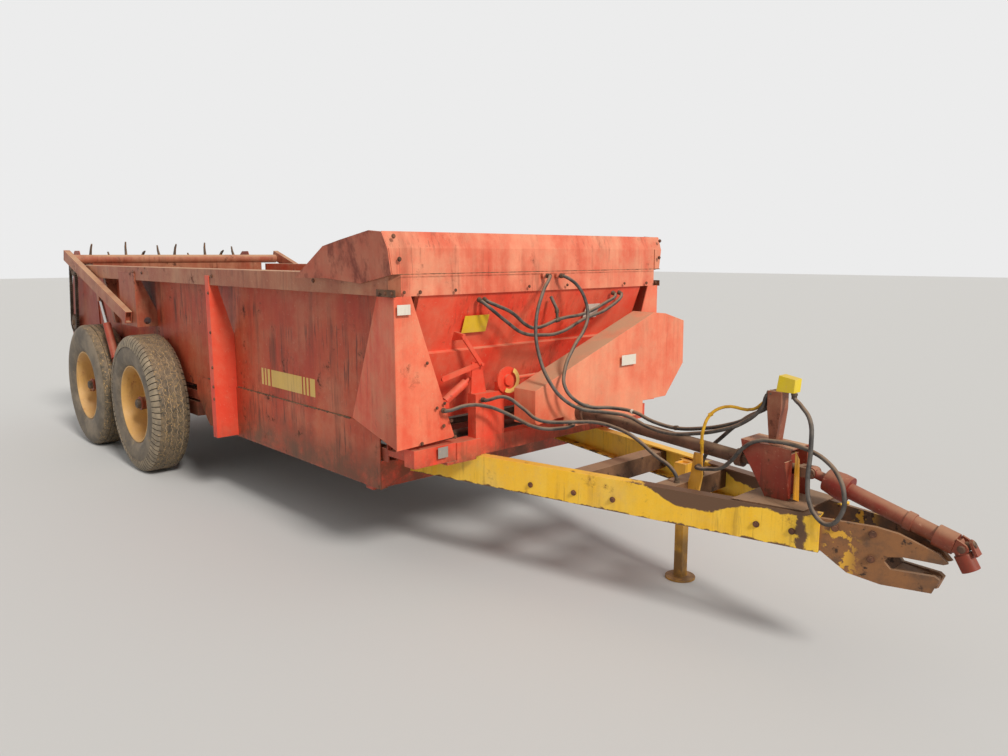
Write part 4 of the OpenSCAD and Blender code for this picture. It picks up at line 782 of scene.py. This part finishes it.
def bolts(name, body, table):
    """table's columns: place, aim, radius of the head in millimetres."""
    mesh = bpy.data.meshes.new(name)
    mesh.from_pydata([place for place, aim, size in table], [], [])
    mesh.attributes.new("aim", "FLOAT_VECTOR", "POINT")
    mesh.attributes.new("size", "FLOAT", "POINT")
    mesh.attributes["aim"].data.foreach_set(
        "vector", [part for place, aim, size in table for part in aim])
    mesh.attributes["size"].data.foreach_set(
        "value", [size / 1000 for place, aim, size in table])
    made = link(name, mesh)
    heads = made.modifiers.new("heads", "NODES")
    heads.node_group = HEADS
    sockets = {item.name: item.identifier for item in HEADS.interface.items_tree}
    heads[sockets["Finish"]] = BOLT
    for label, value in HEAD_SIZES.items():
        heads[sockets[label]] = value
    shown = made.evaluated_get(bpy.context.evaluated_depsgraph_get())
    result = bpy.data.meshes.new_from_object(shown)
    made.modifiers.clear()
    made.data = result
    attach(made, body)


FORWARD = (1, 0, 0)
TONGUE_ANGLE = math.radians(12.5)
TONGUE_HALF = 486
RAIL_FACE = 975
JOINT_PLATE_FACE = RAIL_FACE + 3
STAKE_FACE = RAIL_FACE + 6
WALL_FACE = 830
LEAN_NORMAL = (math.cos(LEAN), 0, -math.sin(LEAN))

# distance from the middle, height, radius, forward face
FRONT_BOLTS = (
    (841, 1448, 7, 0), (633, 1451, 6, 0), (144, 1455, 6, 0), (930, 1450, 6, 0), (955, 1597, 8, 4),
    (808, 1120, 6, 0), (708, 918, 6, 0), (754, 901, 6, 0), (668, 828, 7, 0), (715, 809, 7, 0),
    (646, 745, 7, 0), (846, 743, 7, 0), (975, 1697, 8, -9))
# X, height, radius, distance from the middle
SIDE_BOLTS = (
    (-720, 1487, 9, RAIL_FACE), (-1976, 1487, 9, RAIL_FACE), (-3234, 1487, 9, RAIL_FACE),
    (-4490, 1487, 9, RAIL_FACE), (-132, 1444, 8, JOINT_PLATE_FACE), (-82, 1444, 8, JOINT_PLATE_FACE),
    (-30, 1444, 8, JOINT_PLATE_FACE), (-2030, 1130, 8, STAKE_FACE), (-2030, 905, 8, STAKE_FACE),
    (-2030, 780, 8, STAKE_FACE), (-2030, 700, 8, STAKE_FACE), (-2030, 1380, 8, STAKE_FACE))
# X, height, radius, distance inwards from the channel's face
TONGUE_BOLTS = (
    (291, 521, 10, 0), (523, 523, 10, 0), (719, 526, 10, 0), (1347, 539, 10, 0), (1484, 538, 10, 0),
    (1635, 581, 11, 7), (1765, 584, 11, 7), (1764, 486, 11, 7))


def frame_bolts():
    """Rows of (place, direction, radius) for all the heads that the frame carries."""
    table = []
    for side in (-1, 1):
        for y, z, size, x in FRONT_BOLTS:
            table.append((at(x, side * y, z), FORWARD, size))
        for x, z, size, y in SIDE_BOLTS:
            table.append((at(x, side * y, z), (0, side, 0), size))
        aim = (math.sin(TONGUE_ANGLE), side * math.cos(TONGUE_ANGLE), 0)
        for x, z, size, inset in TONGUE_BOLTS:
            y = side * (TONGUE_HALF - inset - x * math.tan(TONGUE_ANGLE))
            table.append((at(x, y, z), aim, size))
    return table


DISC_DEPTH = 0.06
HUB_DEPTH = 0.12
NUT_CIRCLE = 0.097
HUB_CIRCLE = 0.058


def circle(centre, y, radius, count, start=0.0):
    """Places on a circle about a wheel's axis."""
    turns = [math.tau * (step + start) / count for step in range(count)]
    return [Vector((centre.x + radius * math.cos(turn), y, centre.z + radius * math.sin(turn)))
            for turn in turns]


def wheel_parts(place, side):
    """Nuts round the disc, a turned hub with its cap, and the valve."""
    body = "wheel_" + place
    outward = (0, side, 0)
    low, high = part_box("rim_" + place)
    centre = (low + high) / 2
    inner = low.y if side > 0 else high.y
    outer = inner + side * HUB_DEPTH
    nuts = circle(centre, inner + side * DISC_DEPTH, NUT_CIRCLE, 8, 0.5)
    studs = circle(centre, outer, HUB_CIRCLE, 5)
    bolts("wheel_nuts_" + place, body,
          [(spot, outward, 12) for spot in nuts] + [(spot, outward, 5) for spot in studs])
    hub = Vector((centre.x, outer - side * 0.002, centre.z))
    lathed("hub_" + place, [(hub, outward, ((0, 56), (6, 56), (12, 48), (64, 46), (70, 52),
                                            (80, 52), (82, 40)))], DULL_RED, body, 32)
    cap = Vector((centre.x, outer + side * 0.078, centre.z))
    lathed("hub_cap_" + place, [(cap, outward, ((0, 36), (22, 35), (28, 28), (29, 8)))],
           FITTING, body, 32)
    valve = Vector((centre.x + 0.2, inner + side * 0.074, centre.z + 0.13))
    lathed("valve_" + place, [(valve, (0.2, side, 0.1), ((0, 5), (38, 5), (40, 4), (52, 4)))],
           DARK_STEEL, body, 12)


bolts("frame_bolts", "frame", frame_bolts())
for end in ("front", "rear"):
    for side_name, side in (("right", -1), ("left", 1)):
        wheel_parts(f"{end}_{side_name}", side)


# Crimped ends on the hoses, and the rope's whippings

def cord_ends():
    table = []
    for route in HOSE_ROUTES.values():
        for first, second in ((route[0], route[1]), (route[-1], route[-2])):
            aim = at(*second) - at(*first)
            table.append((at(*first), aim, ((0.5, 13), (9, 13), (10, 11), (24, 11), (25, 9.5))))
    return table


lathed("hose_ends", cord_ends(), FITTING)
ROPE_TIES = [(at(*ROPE_ROUTE[i]), at(*ROPE_ROUTE[i + 1]) - at(*ROPE_ROUTE[i]),
              ((-9, 9), (9, 9))) for i in (2, 4)]
lathed("rope_whippings", ROPE_TIES, ROPE)


# Ties, a branch and its riser on the hoses

lathed("hose_tie", [(at(555, 8, 862), (140, -20, -26), ((0, 11), (12, 11)))], LABEL_WHITE)
lathed("hose_strap", [(at(824, -14, 826), (130, 2, 19), ((0, 11), (16, 11)))], DARK_STEEL)
lathed("hose_branch", [(at(30, 22, 1272), (0, 100, 19), ((0, 11), (4, 13), (26, 13), (30, 11))),
                       (at(29, 37, 1277), (-0.1, 0, 1), ((0, 8), (34, 8), (35, 11), (58, 11)))],
       FITTING)
lathed("hose_riser", [(at(24, 37, 1330), (-44, 0, 66), ((0, 9), (78, 9)))], HOSE)


# The driveline's outer universal joint: the cross's four caps and the two forks' ears

JOINT = (2048, 590)
SHAFT_DROP = math.radians(16)
YOKE_DROP = math.radians(60)
EAR_FACE = 26
CAP_REACH = 40
CAP = ((0, 9), (3, 14), (77, 14), (80, 9))
SHAFT_EAR = ((-26, -26), (-26, 26), (-6, 23), (8, 20), (18, 11), (22, 0), (18, -11), (8, -20),
             (-6, -23))
YOKE_EAR = ((40, -22), (40, 22), (8, 20), (-10, 15), (-20, 0), (-10, -15), (8, -20))


def from_joint(drop, along, up, y):
    """A point from the outer joint, along a line that drops forward and up square to it."""
    return (JOINT[0] + along * math.cos(drop) + up * math.sin(drop), y,
            JOINT[1] - along * math.sin(drop) + up * math.cos(drop))


def universal_joint():
    body = nodes["driveline"]["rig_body"]
    up = (math.sin(YOKE_DROP), 0, math.cos(YOKE_DROP))
    lathed("joint_caps", [(at(JOINT[0], -CAP_REACH, JOINT[1]), (0, 1, 0), CAP),
                          (at(*from_joint(YOKE_DROP, 0, -CAP_REACH, 0)), up, CAP)],
           TUBE_STEEL, body, 24)
    for side in (-1, 1):
        face = side * EAR_FACE
        plate(f"shaft_ear_{side}", [from_joint(SHAFT_DROP, a, b, face) for a, b in SHAFT_EAR],
              SHAFT_RED, (0, side, 0), 10, body)
        plate(f"yoke_ear_{side}", [from_joint(YOKE_DROP, a, face, b) for a, b in YOKE_EAR],
              SHAFT_RED, (side * up[0], 0, side * up[2]), 9, body)


universal_joint()


# Pins in the drive chain

SPROCKETS = (Vector((-5360, 1500)), Vector((-5455, 980)))
CHAIN_RADIUS = 87
CHAIN_FACE = -868
RUN_PINS = 28
TURN_PINS = 14


def chain_pins():
    """Rows of pins along both runs of the chain and round both sprockets."""
    upper, lower = SPROCKETS
    along = (lower - upper).normalized()
    across = Vector((-along.y, along.x))
    spots = [upper.lerp(lower, (step + 0.5) / RUN_PINS) + across * side * CHAIN_RADIUS
             for step in range(RUN_PINS) for side in (-1, 1)]
    for step in range(TURN_PINS):
        angle = math.pi * (step + 0.5) / TURN_PINS
        out, beside = math.sin(angle) * CHAIN_RADIUS, math.cos(angle) * CHAIN_RADIUS
        spots.append(upper + across * beside - along * out)
        spots.append(lower + across * beside + along * out)
    return [(at(x, CHAIN_FACE, z), (0, -1, 0), ((0, 4.5), (30, 4.5))) for x, z in spots]


lathed("chain_pins", chain_pins(), FITTING, nodes["drive_chain"]["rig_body"], 8)


# Labels: thin blank sheets on the faces that carry them

CASE_FACE = 250


def upright(x):
    """Gives the place of (y, z) on an upright face at x."""
    return lambda y, z: (x, y, z)


# name, y from and to, z from and to, place, normal, finish
LABELS = (
    ("wall_yellow", -530, -372, 1234, 1320, off_wall, LEAN_NORMAL, LABEL_YELLOW),
    ("wall_white", 358, 470, 1261, 1340, off_wall, LEAN_NORMAL, LABEL_WHITE),
    ("post", -970, -898, 1349, 1395, upright(0), FORWARD, LABEL_WHITE),
    ("case", 310, 431, 1025, 1080, upright(CASE_FACE), FORWARD, LABEL_WHITE),
    ("beam", -752, -692, 653, 706, upright(0), FORWARD, LABEL_GREY),
)
for name, y0, y1, z0, z1, place, normal, finish in LABELS:
    plate("label_" + name, [place(y0, z0), place(y1, z0), place(y1, z1), place(y0, z1)], finish,
          normal)


# Stripes on the side walls, and rusty joint plates on the rail's corners

def side_sheet(name, spread, height, y, finish, thickness=0.8):
    """An upright sheet on a face that looks to y's side; spread and height are (from, to)."""
    (x0, x1), (z0, z1) = spread, height
    plate(name, [(x0, y, z0), (x1, y, z0), (x1, y, z1), (x0, y, z1)], finish,
          (0, math.copysign(1, y), 0), thickness)


# X from and to of each stripe
STRIPES = ((-1655, -1630), (-1612, -1592), (-1574, -1544), (-1525, -1153), (-1137, -1116),
           (-1099, -1077), (-1060, -1005))
STRIPE_HEIGHT = (828, 930)
for index, spread in enumerate(STRIPES):
    for side in (-1, 1):
        side_sheet(f"side_stripe_{index}_{side}", spread, STRIPE_HEIGHT, side * WALL_FACE,
                   LABEL_CREAM)
for side in (-1, 1):
    side_sheet(f"corner_plate_{side}", (-152, -4), (1428, 1461), side * RAIL_FACE, BROWN_STEEL, 3)


# The scale on the feed control's disc, and the shield's folded edge

DISC_MIDDLE = (-293, 985)
DISC_FACE = 13
SCALE_RADII = (44, 66)


def disc_scale():
    """Ring segment on the disc's face, on its outer half."""
    y, z = DISC_MIDDLE
    arc = [math.radians(-125 + 10 * step) for step in range(20)]
    points = [at(DISC_FACE + depth, y + r * math.cos(a), z + r * math.sin(a))
              for depth in (-0.5, 0.8) for a in arc for r in SCALE_RADII]
    count = 2 * len(arc)
    faces = []
    for step in range(0, count - 2, 2):
        faces.append((count + step, count + step + 1, count + step + 3, count + step + 2))
        faces.append((step + 1, count + step + 1, count + step + 3, step + 3))
        faces.append((step, count + step, count + step + 2, step + 2))
    solid("disc_scale", points, faces, LABEL_CREAM, nodes["feed_disc"]["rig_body"])


disc_scale()
plate("shield_edge", [(1441, -75, 640), (1446, -38, 625), (1441, -42, 800), (1441, -75, 838)],
      YELLOW, FORWARD, 2.5)


# Painted shade: dark beads along the seams of the side walls and of the hood, where the laps lie in
# shade

def seam_shade_line(name, start, end, size, seed):
    """A ragged dark bead from start to end, painted shade along a seam."""
    draw = random.Random(seed)
    start, end = at(*start), at(*end)
    count = max(4, int((end - start).length / 0.012))
    outline = [((end - start).length * 1000 * step / count, size * draw.uniform(0.35, 1))
               for step in range(count + 1)]
    lathed(name, [(start, end - start, outline)], SEAM_SHADE, sides=6)


SEAM_Z = 766
HOOD_SEAM_Z = 1530
HOOD_SEAM_HALF = 968
for side in (-1, 1):
    y = side * (WALL_FACE + 2)
    seam_shade_line(f"seam_shade_front_{side}", (-640, y, SEAM_Z), (-1990, y, SEAM_Z), 7, 5)
    seam_shade_line(f"seam_shade_rear_{side}", (-2070, y, SEAM_Z), (-2480, y, SEAM_Z), 7, 6)
seam_shade_line("hood_seam", (0.5, -HOOD_SEAM_HALF, HOOD_SEAM_Z), (0.5, HOOD_SEAM_HALF, HOOD_SEAM_Z),
          2.6, 7)


# Studio: pale floor, pale surroundings and soft light from high in front

FLOOR_REACH = 60
FLOOR_GREY = rgb(203, 204, 205)
BACKDROP = rgb(236, 236, 236)
SKY = rgb(255, 252, 246)
SKY_STRENGTH = 0.56
SUN_STRENGTH = 2.6
SUN_WARMTH = (1.0, 0.95, 0.88)
SUN_AIM = Vector((-0.8, 0.12, -0.58))


def add_studio():
    mesh = bpy.data.meshes.new("floor")
    corners = ((-1, -1), (1, -1), (1, 1), (-1, 1))
    mesh.from_pydata([(x * FLOOR_REACH, y * FLOOR_REACH, 0) for x, y in corners], [], [(0, 1, 2, 3)])
    mesh.materials.append(plain("floor", FLOOR_GREY, 0.9))
    link("floor", mesh)

    world = bpy.data.worlds.new("studio")
    scene.world = world
    world.use_nodes = True
    graph = Graph(world.node_tree)
    rays = graph.node("ShaderNodeLightPath").outputs
    seen = graph.maths("MAXIMUM", rays["Is Camera Ray"],
                       graph.maths("MAXIMUM", rays["Is Glossy Ray"], rays["Is Transmission Ray"]))
    shown = graph.node("ShaderNodeBackground", {"Color": BACKDROP, "Strength": 1.0})
    light = graph.node("ShaderNodeBackground", {"Color": SKY, "Strength": SKY_STRENGTH})
    both = graph.node("ShaderNodeMixShader", {0: seen, 1: light.outputs[0], 2: shown.outputs[0]})
    world.node_tree.links.new(both.outputs[0], world.node_tree.nodes["World Output"].inputs[0])

    sun = bpy.data.lights.new("key", "SUN")
    sun.energy = SUN_STRENGTH
    sun.angle = math.radians(12)
    sun.color = SUN_WARMTH
    link("key", sun).rotation_euler = SUN_AIM.to_track_quat("-Z", "Y").to_euler()


add_studio()
scene.view_settings.view_transform = "Standard"
